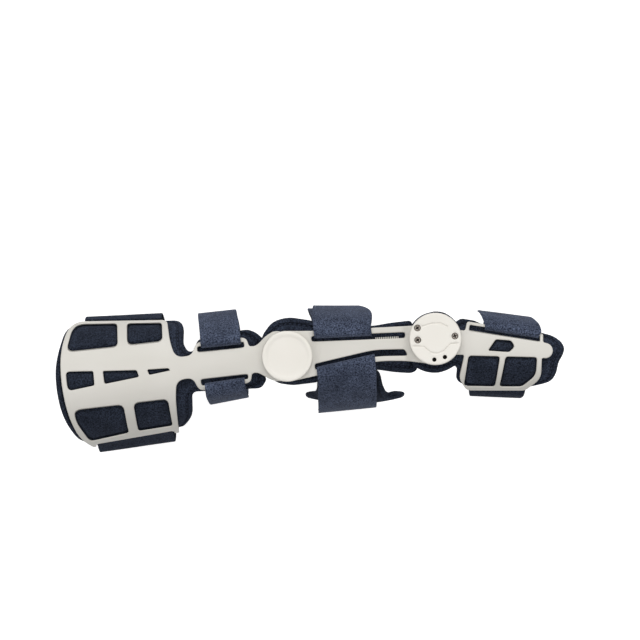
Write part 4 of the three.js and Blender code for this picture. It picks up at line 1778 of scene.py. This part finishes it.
@dataclass
class ForearmCuff(Assembly):
    """The cuff round the forearm: shell, liner, wide strap and wrist strap."""

    bend: Bend = Bend(
        u=(-128, -64, -50, -22, -12), crest=(-4, -4, -1, 0, 0), radius=(39, 33.5, 34, 40, math.inf),
        lift_u=(-22, -20, -18.4, -17, -15.6, -14.2, -12.8), lift=(0, -0.05, -0.2, -0.4, -0.4, -0.2, 0),
    )
    outline: Outline = (
        Arc(0, 0, 12, -70, 70), Corner(-5.2, 14.9, 3), Corner(-10.4, 12.5, 2),
        Corner(-16.6, 7.3, 2.5), Corner(-20.4, 7.6, 1), Corner(-21.6, 12.8, 3), Corner(-49.3, 12.9, 3),
        Corner(-52.4, 5.8, 3), Corner(-61.2, 5.6, 4.5), Corner(-63.6, 14, 5), Corner(-64.6, 26.8, 2.5),
        Corner(-118.5, 31.4, 8), Corner(-124.6, 15, 9), Corner(-125.3, -4, 9), Corner(-123.5, -21, 8),
        Corner(-119.3, -34.5, 6), Corner(-112, -41.2, 1.5), Corner(-110.6, -38.4, 0.6),
        Corner(-67.5, -35.3, 0.6), Corner(-66.9, -37.4, 0.6), Corner(-64.5, -37.2, 0.8),
        Corner(-63.5, -17, 4), Corner(-62, -7.2, 4.5), Corner(-53, -6.6, 3.5), Corner(-50.2, -14.4, 3.5),
        Corner(-21.4, -12.6, 3), Corner(-20.3, -7.6, 1), Corner(-17.2, -7.2, 2.5),
        Corner(-10, -12.2, 2), Corner(-5.4, -13.6, 3),
    )
    windows: tuple[Outline, ...] = (
        (
            Corner(-92.4, 28, 2.2), Corner(-116.5, 30, 6), Corner(-121.3, 14.5, 4.5),
            Corner(-92.6, 14.6, 3),
        ),
        (
            Corner(-67.6, 25.9, 2), Corner(-87, 27.5, 2), Corner(-87.3, 14.8, 3.2),
            Corner(-67.8, 15, 3),
        ),
        (
            Corner(-107.1, 2.7, 0.8), Corner(-122.3, 3.9, 2.5), Corner(-122.1, -7, 3),
            Corner(-107.2, -5.3, 0.8),
        ),
        (
            Corner(-83.3, 0.8, 0.8), Corner(-101.9, 2.2, 0.8), Corner(-101.6, -5.1, 0.8),
            Corner(-82.3, -3.1, 0.8),
        ),
        (
            Corner(-65.7, 0.1, 0.6), Corner(-77.5, 0.5, 0.6), Corner(-76.7, -2.6, 0.6),
            Corner(-64.9, -1.3, 0.4),
        ),
        (
            Corner(-92.6, -17.4, 3.4), Corner(-120.4, -17.7, 5), Corner(-119.4, -25.5, 3),
            Corner(-114, -36.6, 2.5), Corner(-91.9, -33.9, 1.4),
        ),
        (
            Corner(-67.9, -16.8, 3.2), Corner(-87.1, -17.1, 3.2), Corner(-86.6, -33.5, 1.6),
            Corner(-67.3, -32.4, 1.2),
        ),
    )
    slots: tuple[Outline, ...] = (
        (Corner(-23, 10.4, 1), Corner(-49, 10.4, 1), Corner(-49, 7.2, 1), Corner(-23, 7.2, 1)),
        (
            Corner(-22.6, -7.6, 1), Corner(-48.8, -7.9, 1), Corner(-48.6, -11.6, 1),
            Corner(-22.6, -10.4, 1),
        ),
    )
    # Where the liner's neck dips under the hand's liner
    liner_dip_u: tuple[float, ...] = (-40, -36, -32, -28, -24, -20, -16, -12)
    liner_outline: Outline = (
        Corner(-12.7, -11.8, 1.5), Corner(-17.4, -1, 4), Corner(-14, 5, 2), Corner(-11.8, 10.2, 2.5),
        Corner(-16.6, 15.6, 2.5), Corner(-21, 17.8, 2.5), Corner(-48.4, 15, 2.5), Corner(-51.6, 8.2, 2),
        Corner(-54.4, 8.8, 2), Corner(-56.6, 13.4, 2.5), Corner(-55.4, 26.4, 5), Corner(-66, 26.8, 4),
        Corner(-112, 30.3, 4), Corner(-121.5, 29, 5.5), Corner(-128, 10, 9), Corner(-128.8, -6, 8),
        Corner(-127, -23, 8), Corner(-120.6, -36.8, 5), Corner(-112, -37.8, 4), Corner(-66.5, -34.2, 3),
        Corner(-60.5, -33.6, 2.5), Corner(-55.6, -28.6, 3), Corner(-54.2, -15, 3), Corner(-22, -16.8, 2),
        Corner(-16.2, -16.8, 2.5),
    )
    wide_strap: Course = Course(
        u=(-111, -68),
        folds=(
            Fold((30.3, 26.9), (-29.4, -26.6)), Fold((31.1, 28.1), (-33.5, -30.8)),
            Fold((31.9, 29.7), -40), Fold((31.4, 29.4), -50), Fold((26, 24.5), -68),
            Fold((15, 14), -81.5), Fold(4, -84.9), Fold(-14, -84.9), Fold((-25, -24), -81.5),
            Fold((-36.5, -35), -68),
            Fold((-42, -40.2), -52), Fold((-42.2, -40.4), -41), Fold((-38.8, -35.6), (-31, -28.6)),
            Fold((-37.3, -34.1), (-26.4, -24.6)),
        ),
    )
    wrist_strap: Course = Course(
        u=(-46.8, -24.6),
        folds=(
            Fold(9.75, -3.8), Fold(9.8, -1), Fold(10.9, 0.72), Fold(12.9, 0.3), Fold(16, -2.2),
            Fold(21.2, -9, (-47, -25)), Fold(26, -19, (-47.4, -25.6)), Fold(27.6, -30, (-47.6, -26.2)),
            Fold(26, -46, (-47.6, -26.2)), Fold(18, -61, (-47.2, -25.8)), Fold(6, -67, (-47, -25.4)),
            Fold(0, -67, (-46.4, -25.2)), Fold((-12, -11), -61, (-45.8, -24.6)),
            Fold((-20, -18), -46, (-45.6, -24.2)), Fold((-21.8, -19.8), -31, (-45.6, -24)),
            Fold((-21.4, -19.5), -19, (-46, -24)), Fold((-19.4, -17.8), -9, (-46.4, -24.4)),
            Fold((-17, -15.4), -2.6), Fold((-13.9, -12.6), 0.5), Fold((-11.7, -10.6), 0.75),
            Fold((-10.9, -9.8), -0.9), Fold((-10.8, -9.7), -3.6),
        ),
    )
    wrist_flaps: tuple[Pair, ...] = ((0.0, 0.34), (0.72, 1.0))

    def build(self) -> None:
        """Builds the cuff's pieces."""
        shell = self.plate("forearm_shell", self.outline, self.windows + self.slots, self.bend, (0.0,))
        dipped = replace(self.bend, lift_u=self.liner_dip_u, lift=LINER_DIP)
        self.liner("forearm_pad", self.liner_outline, dipped, shell, (0.0,), self.windows)
        self.strap("forearm_strap", self.wide_strap, (), self.finishes.dark_strap)
        self.strap("wrist_strap", self.wrist_strap, self.wrist_flaps, self.finishes.strap)


@dataclass(frozen=True)
class Insert:
    """A round insert with a shallow dish in its top, and how many sides it is turned with."""

    radius: float
    shoulder_radius: float
    rim_height: float
    shoulder_height: float
    dish_height: float
    sides: int

    def section(self) -> tuple[Pair, ...]:
        """Lists its section, from the axis below to the axis above."""
        rim, shoulder = (self.radius, self.rim_height), (self.shoulder_radius, self.shoulder_height)
        return ((0.0, 0.0), (self.radius, 0.0), rim, shoulder, (0.0, self.dish_height))


@dataclass
class HandPlate(Assembly):
    """The ladder plate on the hand: plate, pads, strap and both hinge caps."""

    ramp: tuple[float, ...] = (11.6, 12.6, 13.8, 15.1, 16.4, 17.6, 18.6)
    ramp_lift: tuple[float, ...] = (DISC_LIFT, 2.93, 2.5, 1.5, 0.5, 0.07, 0)
    outline: Outline = (
        Arc(0, 0, 14, 90, 270),
        Corner(14, -12.6, 6), Corner(49, -8.3, 8), Corner(66, -10.4, 5),
        Arc(HINGE_SPAN, 0, 14, -108, 142),
        Corner(16, 12.1, 8),
    )
    slots: tuple[Outline, ...] = (
        (Corner(14.3, 9.4, 1.2), Corner(14.2, 6.4, 1.2), Corner(65.6, 2.4, 1.2), Corner(65.8, 5.6, 1.2)),
        (
            Corner(14.4, -6, 1), Corner(14.4, -9.3, 1), Corner(48.5, -5.7, 6), Corner(65.8, -7.4, 1.2),
            Corner(64.6, -3.7, 1.2), Corner(48, -2.1, 6),
        ),
    )
    # Where the liner's far end dips under the fingers' liner
    liner_dip_u: tuple[float, ...] = (42, 45, 48, 51, 54, 57, 60, 64)
    liner_outline: Outline = (
        Corner(-14.4, -6, 3), Corner(-7.6, -14, 3), Corner(1, -16.4, 3), Corner(14, -16.3, 3),
        Corner(46, -12.6, 4), Corner(58, -15.9, 3), Corner(67.4, -17.6, 2.5), Corner(70.8, -15.8, 2.2),
        Corner(71, -10.5, 3), Corner(69, -4, 3), Corner(68.8, 4, 3), Corner(71, 9.4, 1.6),
        Corner(69.8, 11.6, 1.2), Corner(58, 11.6, 3), Corner(48, 11, 4), Corner(19, 16, 2),
        Corner(15.4, 18, 2), Corner(3, 21.4, 4), Corner(-6, 20, 4), Corner(-13, 12.6, 4),
        Corner(-15, 2, 3),
    )
    palm_strap: Course = Course(
        u=(15.2, 47.8),
        folds=(
            Fold((8.6, 6.2), -2.6, (16, 47.6)), Fold((8.6, 6.2), (0.3, -0.5), (16, 47.6)),
            Fold((9.8, 7.4), (1.95, 0.85), (16, 47.6)), Fold((12.5, 10.6), (1.9, 0.75), (16, 47.6)),
            Fold((16.2, 13.4), (-0.8, -1.7), (16, 48.4)), Fold((21.2, 17.2), -9, (16.3, 49)),
            Fold((24.4, 20), -20, (16.8, 47.4)), Fold((25.2, 22), -34, (17.2, 43)),
            Fold((22.5, 20.5), -55, (17, 42.4)), Fold((15, 14), -75, (16.4, 45)),
            Fold(5, -84.9, (16, 47)), Fold(-14, -84.9, (15.2, 47)), Fold(-25, -75, (14.4, 46.6)),
            Fold((-31.4, -32), -55, (13.6, 46.2)), Fold((-32.9, -33.7), -36, (13.2, 46)),
            Fold((-30.8, -31), -20, (13.6, 46.2)),
            Fold((-24.4, -22.4), -8, (14.2, 46.9)), Fold((-17.2, -13.6), (-0.8, -1.7), (15, 47.6)),
            Fold((-12.6, -8.9), (1.9, 0.75)), Fold((-9.7, -6.1), (1.95, 0.85)),
            Fold((-8.4, -4.8), (0.3, -0.5)), Fold((-8.4, -4.8), -2.6),
        ),
    )
    palm_flaps: tuple[Pair, ...] = ((0.0, 0.3), (0.72, 1.0))
    # How much further out the band's left edge stands than the flap's, by fold line
    band_spare: tuple[tuple[int, float], ...] = ((5, 0.6), (6, 2.2), (7, 3.2), (8, 2.6), (9, 0.8))
    palm_wing: Course = Course(
        u=(7, 62),
        folds=(
            Fold((-14, -13.6), -12, (15, 49.6)), Fold((-17.6, -19), -14.6, (14.6, 50)),
            Fold((-23, -26.6), -20, (13.6, 50.8)), Fold((-25.6, -31), -28, (12, 52.6)),
            Fold((-26.6, -32.8), -36, (9, 59)), Fold((-26.6, -32.8), -42), Fold((-26.4, -32.6), -48),
            Fold((-26, -32), -54, (9, 60)),
        ),
    )
    palm_wing_thickness: float = 3.2
    palm_wing_curl: float = 3.6
    palm_wing_step: float = 1.4
    palm_wing_tabs: Pair = (5.0, 6.0)
    # How far in from its edge the wing may puff, and how far it does
    palm_wing_clear: float = 3.5
    palm_wing_puff: float = 0.5
    wrist_cap_section: tuple[Pair, ...] = (
        (0, 0), (13.4, 0), (13.7, 0.2), (13.8, 0.5), (13.8, 3.15), (13.74, 3.36), (13.58, 3.5),
        (13.3, 3.58), (12.9, 3.6), (12.4, 3.6), (11.9, 3.54), (11.4, 3.4), (11, 3.28), (10.5, 3.2),
        (9.6, 3.16), (8, 3.18), (4, 3.25), (0, 3.27),
    )
    wrist_cap_sides: int = 128
    finger_cap_radius: float = 14.35
    finger_cap_edge: RoundEdge = RoundEdge(0.8)
    finger_cap_spacing: float = 0.5
    finger_cap_grid: float = 0.9
    hole_edge: RoundEdge = RoundEdge(0.2)
    # Lines where the cap's cover is let into its rim, from the cap's middle
    cap_seams: tuple[tuple[Pair, ...], ...] = (
        ((-13, -2.5), (-6.9, -3.4), (-3.3, -7.1), (0.2, -8.1), (3.8, -7.1), (7.9, -3.6), (11.9, -3.8)),
        ((-6.6, 7.6), (-1.2, 8.7), (3.8, 8.3), (7.1, 6)),
    )
    seam_depth: float = 0.45
    seam_reach: float = 0.3
    # The step along a seam, the rows of points beside it and how far they keep from the cap's edge
    seam_step: float = 0.3
    seam_rows: tuple[float, ...] = (-0.32, -0.18, 0.0, 0.18, 0.32)
    seam_margin: float = 1.2
    # The cap's two holes, each with a near-black disc at its bottom as painted shade, so that they look
    # deep
    stop_places: tuple[Pair, ...] = ((-1.9, -11.2), (4, -10.5))
    stop_hole_radius: float = 1.2
    stop_depth: float = 1.9
    stop: Insert = Insert(1.14, 0.912, 0.3, 0.32, 0.2, sides=24)
    screw_places: tuple[Pair, ...] = ((-9.1, 7.1), (-9.7, 0.5), (10.8, 0.3))
    screw_radius: float = 1.62
    screw_height: float = 0.9
    screw_dome: float = 0.3
    screw_sunk: float = 0.15
    screw_edge: RoundEdge = RoundEdge(0.3)
    screw_spacing: float = 0.14
    screw_grid: float = 0.3
    cross_reach: float = 1.05
    cross_arm: float = 0.3
    cross_ease: float = 0.06
    cross_edge: RoundEdge = RoundEdge(0.08)
    # Each screw's pocket is floored by a near-black washer, painted shade that shows through the screw's
    # cross
    pocket_radius: float = 1.85
    washer_drop: float = 0.4
    washer: Insert = Insert(1.79, 1.2, 0.25, 0.28, 0.2, sides=32)
    teeth_run: tuple[Pair, Pair] = ((49.6, 4.05), (61.7, 3.2))
    tooth_spacing: float = 0.95
    tooth_size: tuple[float, float, float] = (0.5, 1.1, 1.4)
    tooth_bevel: float = 0.14
    tooth_depth: float = 1.2
    teeth_points: int = 24

    def cap_top(self) -> float:
        """Gives how far the caps' tops stand over the plates."""
        return DISC_LIFT + CAP_GAP + CAP_HEIGHT

    def build(self) -> None:
        """Builds the hand's pieces."""
        far = tuple(HINGE_SPAN - u for u in self.ramp[::-1])
        raised = replace(FLAT, lift_u=self.ramp + far, lift=self.ramp_lift + self.ramp_lift[::-1])
        plate = self.plate("hand_plate", self.outline, self.slots, raised, (0.0, HINGE_SPAN))
        dipped = replace(FLAT, lift_u=self.liner_dip_u, lift=LINER_DIP)
        self.liner("hand_pad", self.liner_outline, dipped, plate, (0.0, HINGE_SPAN))
        self.palm_pad()
        self.strap(
            "palm_strap", self.palm_strap, self.palm_flaps, self.finishes.strap,
            inner=self.palm_strap.widened(self.band_spare),
        )
        self.wrist_cap()
        self.finger_cap()
        self.cap_hole_shades()
        self.cap_screws()
        self.slot_teeth()

    def palm_pad(self) -> None:
        """Builds the padded wing inside the palm strap."""
        ribbon = Ribbon(
            self.palm_wing, self.axes, self.palm_wing_step, self.palm_wing_thickness, self.palm_wing_curl
        )
        piece = ribbon.layer("palm_pad_padded", self.palm_wing_thickness, tabs=self.palm_wing_tabs)
        rim = np.array([entry.value for entry in piece.data.attributes["rim"].data])
        self.puffing.hold(piece, rim > self.palm_wing_clear, self.palm_wing_puff)
        self.pads.append((piece, None, "palm_pad"))

    def wrist_cap(self) -> None:
        """Builds the plain dished cap over the wrist hinge."""
        base = (0.0, 0.0, DISC_LIFT + CAP_GAP)
        piece = turned(
            "wrist_cap_moulded", self.wrist_cap_section, self.wrist_cap_sides, self.axes, base
        )
        dressed(piece, self.finishes.cap, Slot.CAP, self.body, "wrist_cap")

    def seam_cut(self, flat: Array) -> Array:
        """Cuts the finger cap's seams.

        Args:
            flat: Points in the hand's axes.

        Returns:
            How deep the seams are at each.
        """
        runs = [np.array(rows, dtype=float) + FINGER_HINGE for rows in self.cap_seams]
        away = np.min([line_distance(flat, run[:-1], run[1:]) for run in runs], axis=0)
        return self.seam_depth * np.clip(1.0 - away / self.seam_reach, 0.0, 1.0)

    def seam_points(self) -> Array:
        """Lists points along and beside the finger cap's seams.

        Returns:
            Those inside the cap's rounded edge.
        """
        rows = []
        for seam in self.cap_seams:
            knots = np.array(seam, dtype=float)
            for start, end in zip(knots[:-1], knots[1:]):
                side = end - start
                length = float(np.linalg.norm(side))
                normal = np.array([-side[1], side[0]]) / length
                shares = np.linspace(0.0, 1.0, max(2, round(length / self.seam_step)))[:, None]
                rows += [start + shares * side + normal * gap for gap in self.seam_rows]
        spots = np.vstack(rows)
        within = np.linalg.norm(spots, axis=1) < self.finger_cap_radius - self.seam_margin
        return spots[within] + FINGER_HINGE

    def finger_cap(self) -> None:
        """Builds the cap over the finger hinge, with its seams, screw pockets and stop holes."""
        holes = [(*place, self.stop_hole_radius) for place in self.stop_places]
        holes += [(*place, self.pocket_radius) for place in self.screw_places]
        wall = Wall(
            (Arc(HINGE_SPAN, 0, self.finger_cap_radius, 0, 360),),
            tuple((Arc(HINGE_SPAN + u, v, radius, 0, 360),) for u, v, radius in holes),
            replace(FLAT, lift=(self.cap_top(),)), 0.0, CAP_HEIGHT, self.finger_cap_edge,
            spacing=self.finger_cap_spacing, grid=self.finger_cap_grid, extra=self.seam_points(),
            relief=self.seam_cut, opening_edge=self.hole_edge,
        )
        piece = wall.build("finger_cap_moulded", self.axes)
        dressed(piece, self.finishes.cap, Slot.CAP, self.body, "finger_cap")

    def insert(self, name: str, shape: Insert, at: tuple[float, float, float]) -> None:
        """Sets a near-black insert into the finger cap, as painted shade at the bottom of a recess, with
        its base at a place.
        """
        piece = turned(name, shape.section(), shape.sides, self.axes, at)
        dressed(piece, self.finishes.dark_steel, Slot.STEEL, self.body)

    def cap_hole_shades(self) -> None:
        """Sets a near-black disc at the bottom of each of the cap's two holes, as painted shade."""
        for number, (u, v) in enumerate(self.stop_places, 1):
            at = (HINGE_SPAN + u, v, self.cap_top() - self.stop_depth)
            self.insert(f"cap_stop_{number}", self.stop, at)

    def cap_screws(self) -> None:
        """Sets the screws in their pockets, each over a near-black washer that floors its pocket and
        shows through its cross as painted shade.
        """
        top = self.cap_top() - self.screw_sunk
        arm, reach = self.cross_arm, self.cross_reach
        quarter = ((arm, reach), (-arm, reach), (-arm, arm))
        cross = tuple(
            Corner(u * c - v * s, u * s + v * c, self.cross_ease)
            for c, s in ((1, 0), (0, 1), (-1, 0), (0, -1))
            for u, v in quarter
        )
        head = Wall(
            (Arc(0, 0, self.screw_radius, 0, 360),), (cross,), FLAT, 0.0, self.screw_height,
            self.screw_edge, self.screw_spacing, self.screw_grid, opening_edge=self.cross_edge,
            relief=lambda flat: self.screw_dome * (flat**2).sum(axis=1) / self.screw_radius**2,
        )
        places = np.array([[HINGE_SPAN + u, v, top] for u, v in self.screw_places])
        screws = self.repeats.made(
            "cap_screws", self.repeats.at, [self.axes.placed(places)],
            head.build("screw_head", Axes(Vector((0.0, 0.0, 0.0)), 0.0)),
            {"Finish": self.finishes.steel, "Seed": SEED},
        )
        nodes = [f"cap_screw_{number}" for number in range(1, len(self.screw_places) + 1)]
        dressed(screws, self.finishes.steel, Slot.STEEL, self.body, *nodes)
        for number, place in enumerate(places, 1):
            at = (place[0], place[1], top - self.screw_height - self.washer_drop)
            self.insert(f"cap_washer_{number}", self.washer, at)

    def slot_teeth(self) -> None:
        """Sets the row of small teeth along the lower edge of the upper slot."""
        made = bmesh.new()
        bmesh.ops.create_cube(made, size=1.0)
        size = Matrix.Diagonal((*(side * MM for side in self.tooth_size), 1.0))
        bmesh.ops.transform(made, matrix=size, verts=made.verts)
        bmesh.ops.bevel(
            made, geom=list(made.edges), offset=self.tooth_bevel * MM,
            segments=2, affect="EDGES", profile=0.5,
        )
        shares = np.linspace(0.0, 1.0, self.teeth_points)[:, None]
        ends = np.array([[u, v, -self.tooth_depth] for u, v in self.teeth_run])
        run = self.axes.placed(ends[0] + shares * (ends[1] - ends[0]))
        teeth = self.repeats.made(
            "slot_teeth", self.repeats.along, [run], shaped("tooth", made),
            {
                "Spacing": self.tooth_spacing * MM, "Finish": self.finishes.plate,
                "Seed": SEED, "Size Change": 0.0,
            },
        )
        dressed(teeth, self.finishes.plate, Slot.PLATE, self.body)


@dataclass
class FingerTrough(Assembly):
    """The trough along the fingers: shell, liner and strap."""

    bend: Bend = Bend(u=(4, 21, 72), crest=(-5, -5.4, -4), radius=(math.inf, 25, 25))
    outline: Outline = (
        Arc(0, 0, 12, 31, 320),
        Corner(12.4, -7.7, 1.5), Corner(16.8, -7.4, 1), Corner(15.2, -21, 3), Corner(20.2, -27.2, 2),
        Corner(52.6, -24.4, 2), Corner(60.2, -17, 4), Corner(59.5, -5.3, 1),
        Arc(60.9, -1.1, 4.3, -88, 86), Corner(59.5, 3.5, 0.8), Corner(59.3, 8.3, 0.8),
        Corner(17, 11.4, 1.2), Corner(16.2, 6.1, 1),
    )
    slots: tuple[Outline, ...] = (
        (Corner(18.6, 9.7, 0.6), Corner(18.3, 6.2, 0.6), Corner(57.8, 3.5, 0.6), Corner(57.6, 7, 0.6)),
    )
    windows: tuple[Outline, ...] = (
        (
            Corner(29.6, -3.9, 0.8), Corner(41.4, -3.7, 1), Corner(44.2, -0.4, 1.6),
            Corner(42, 2.9, 1.4), Corner(33.4, 2.8, 1),
        ),
        (
            Corner(19.2, -7.6, 1.8), Corner(18.3, -24.9, 2.2), Corner(35.6, -23.7, 1.6),
            Corner(36.5, -6.5, 1.6),
        ),
        (
            Corner(39.6, -6.3, 1.6), Corner(38, -23.5, 1.6), Corner(50.4, -22.4, 2),
            Corner(57.2, -15.5, 3.5), Corner(56.9, -5.2, 1.6),
        ),
    )
    liner_outline: Outline = (
        Arc(0.6, 0.3, 14.9, 46, 100),
        Arc(0, 0, 14.8, 108, 190),
        Corner(-12.8, -10.5, 4),
        Arc(0, 0, 18.8, 236, 311),
        Corner(13.7, -15.6, 0.6), Corner(13.7, -22.4, 2.5), Corner(19.4, -25.6, 2), Corner(53, -23.4, 2),
        Corner(62.4, -20.4, 2), Corner(66.4, -18.6, 2.5), Corner(68.6, -14.6, 3), Corner(69.2, -7, 3),
        Corner(71.2, -2.6, 2), Corner(72, 1.6, 2), Corner(70.2, 5, 2.5), Corner(65.4, 8.2, 3),
        Corner(57, 9.6, 1.5), Corner(27, 10.8, 2), Corner(21, 13, 2), Corner(13.4, 13.4, 2.5),
    )
    finger_strap: Course = Course(
        u=(21.3, 51.3),
        folds=(
            Fold((7.6, 5.6), (-6.2, -4.8), (27, 57)), Fold((8, 6), (-4.4, -3), (27, 57)),
            Fold((9.2, 7.1), (-3.4, -2), (27, 57.4)), Fold((11.2, 9.2), (-4.7, -2.8), (26.4, 58.2)),
            Fold((13.4, 11.6), (-8, -6), (25.2, 57.4)), Fold((15.6, 14.2), -14, (23.9, 55.2)),
            Fold((16.8, 15.6), -23, (23.3, 53.4)), Fold((16.9, 15.6), -34, (23.6, 53)),
            Fold((16, 14.6), -46, (26.6, 54.4)), Fold((12.6, 12), -64, (29, 55.6)),
            Fold(6, -79, (29.4, 56)), Fold(-1, -84.9, (28.4, 56)), Fold(-13, -84.9, (26, 55)),
            Fold(-21.5, -78, (24, 53.8)),
            Fold((-27.4, -26.4), -60, (23.8, 52.4)), Fold((-29.1, -27.8), -40, (23.4, 51.9)),
            Fold((-29, -27.6), -28, (22.9, 52.2)), Fold((-27.5, -25.9), (-19.4, -17), (22.5, 52.6)),
            Fold((-25.4, -22.9), (-14.6, -11.9), (22.3, 52.8)),
        ),
    )
    finger_flaps: tuple[Pair, ...] = ((0.0, 0.23),)
    # The flap's left corner stands out over the band, which runs straighter
    band_spare: tuple[tuple[int, float], ...] = (
        (3, -0.4), (4, -1.6), (5, -2.9), (6, -4), (7, -4.2), (8, -2),
    )

    def build(self) -> None:
        """Builds the trough's pieces."""
        shell = self.plate("finger_shell", self.outline, self.slots + self.windows, self.bend, (0.0,))
        self.liner("finger_pad", self.liner_outline, self.bend, shell, (0.0,), self.windows)
        # The band is near black, painted shade where it turns under the trough away from the light
        self.strap(
            "finger_strap", self.finger_strap, self.finger_flaps, self.finishes.strap,
            inner=self.finger_strap.widened(self.band_spare), band_finish=self.finishes.dark_strap,
        )


@dataclass(frozen=True)
class Lamp:
    """A round soft lamp: where it hangs, how wide it is and how strong, in metres and watts."""

    name: str
    place: tuple[float, float, float]
    size: float
    power: float


@dataclass(frozen=True)
class Studio:
    """The pale board, the soft light and the camera straight over the plates."""

    view_centre: Pair = (5.5, 32.93)
    view_width: float = 352.0
    view_distance: float = 1800.0
    sensor: float = 36.0
    floor_reach: float = 3.0
    board: PaleFloor = PaleFloor("white_studio_board", "#F7F7F7", 0.62)
    lamps: tuple[Lamp, ...] = (
        Lamp("key", (0.0, 1.2, 0.8), 1.0, 7.5),
        Lamp("fill", (0.0, 0.1, 2.0), 1.6, 5.0),
    )
    aim: tuple[float, float, float] = (0.0, 0.02, 0.05)
    # How high a direction points where the surround starts and stops growing, and its strength there
    surround_rise: Pair = (-0.1, 0.9)
    surround_level: Pair = (0.02, 0.86)

    def build(self) -> None:
        """Builds the stage, the lights and the camera."""
        self.floor()
        self.lights()
        self.surround()
        self.camera()

    def floor(self) -> None:
        """Lays the board, which glows a little and throws no light back, as a far backdrop would."""
        far = self.floor_reach
        corners = np.array([[-far, -far, 0], [far, -far, 0], [far, far, 0], [-far, far, 0]])
        board = new_piece("floor", corners, [(0, 1, 2, 3)])
        board.data.materials.append(self.board.material())
        board.visible_diffuse = False

    def lights(self) -> None:
        """Hangs a soft key towards the back of the hand and a weaker fill."""
        for lamp in self.lamps:
            data = bpy.data.lights.new(lamp.name, "AREA")
            data.shape = "DISK"
            data.size = lamp.size
            data.energy = lamp.power
            light = bpy.data.objects.new(lamp.name, data)
            light.location = lamp.place
            facing = Vector(self.aim) - Vector(lamp.place)
            light.rotation_euler = facing.to_track_quat("-Z", "Y").to_euler()
            bpy.context.scene.collection.objects.link(light)

    def surround(self) -> None:
        """Surrounds the stage with pale light that grows from the horizon up."""
        world = bpy.data.worlds.new("surround")
        world.use_nodes = True
        tree = world.node_tree
        facing = add(tree, "ShaderNodeTexCoord").outputs["Generated"]
        parts = add(tree, "ShaderNodeSeparateXYZ", {"Vector": facing})
        level = mapped(tree, parts.outputs["Z"], self.surround_rise, self.surround_level)
        give(tree, tree.nodes["Background"], {"Color": WHITE, "Strength": level})
        bpy.context.scene.world = world

    def camera(self) -> None:
        """Sets the camera over the plates, looking straight down with the back of the hand up."""
        data = bpy.data.cameras.new("camera")
        data.sensor_width = self.sensor
        data.lens = self.sensor * self.view_distance / self.view_width
        camera = bpy.data.objects.new("camera", data)
        height = PLATE_HEIGHT + self.view_distance
        camera.location = Vector((*self.view_centre, height)) * MM
        bpy.context.scene.collection.objects.link(camera)
        bpy.context.scene.camera = camera


def main() -> None:
    """Builds the splint, dresses it and sets the stage."""
    logging.basicConfig(level=logging.INFO, format="%(name)s: %(message)s")
    bpy.context.scene.view_settings.view_transform = "Standard"
    joints = {joint["name"]: Vector(joint["pos_m"]) for joint in frame["joints"]}
    wrist, knuckle = joints["wrist_hinge"], joints["finger_hinge"]
    finishes = Finishes.made()
    puffing = Puffing()
    shared = {"finishes": finishes, "repeats": Repeats(), "puffing": puffing}
    assemblies = (
        ForearmCuff(axes=Axes(wrist, FOREARM_TILT), body=Body.FOREARM, **shared),
        HandPlate(axes=Axes(wrist, HAND_TILT), body=Body.HAND, **shared),
        FingerTrough(axes=Axes(knuckle, FINGER_TILT), body=Body.FINGERS, **shared),
    )
    for assembly in assemblies:
        assembly.build()
    puffing.run()
    for assembly in assemblies:
        assembly.dress_pads()
    for node in ("wrist_pin", "finger_pin"):
        frame["nodes"][node].data.materials.clear()
        frame["nodes"][node].data.materials.append(finishes.steel)
    Studio().build()


if __name__ == "__main__":
    main()
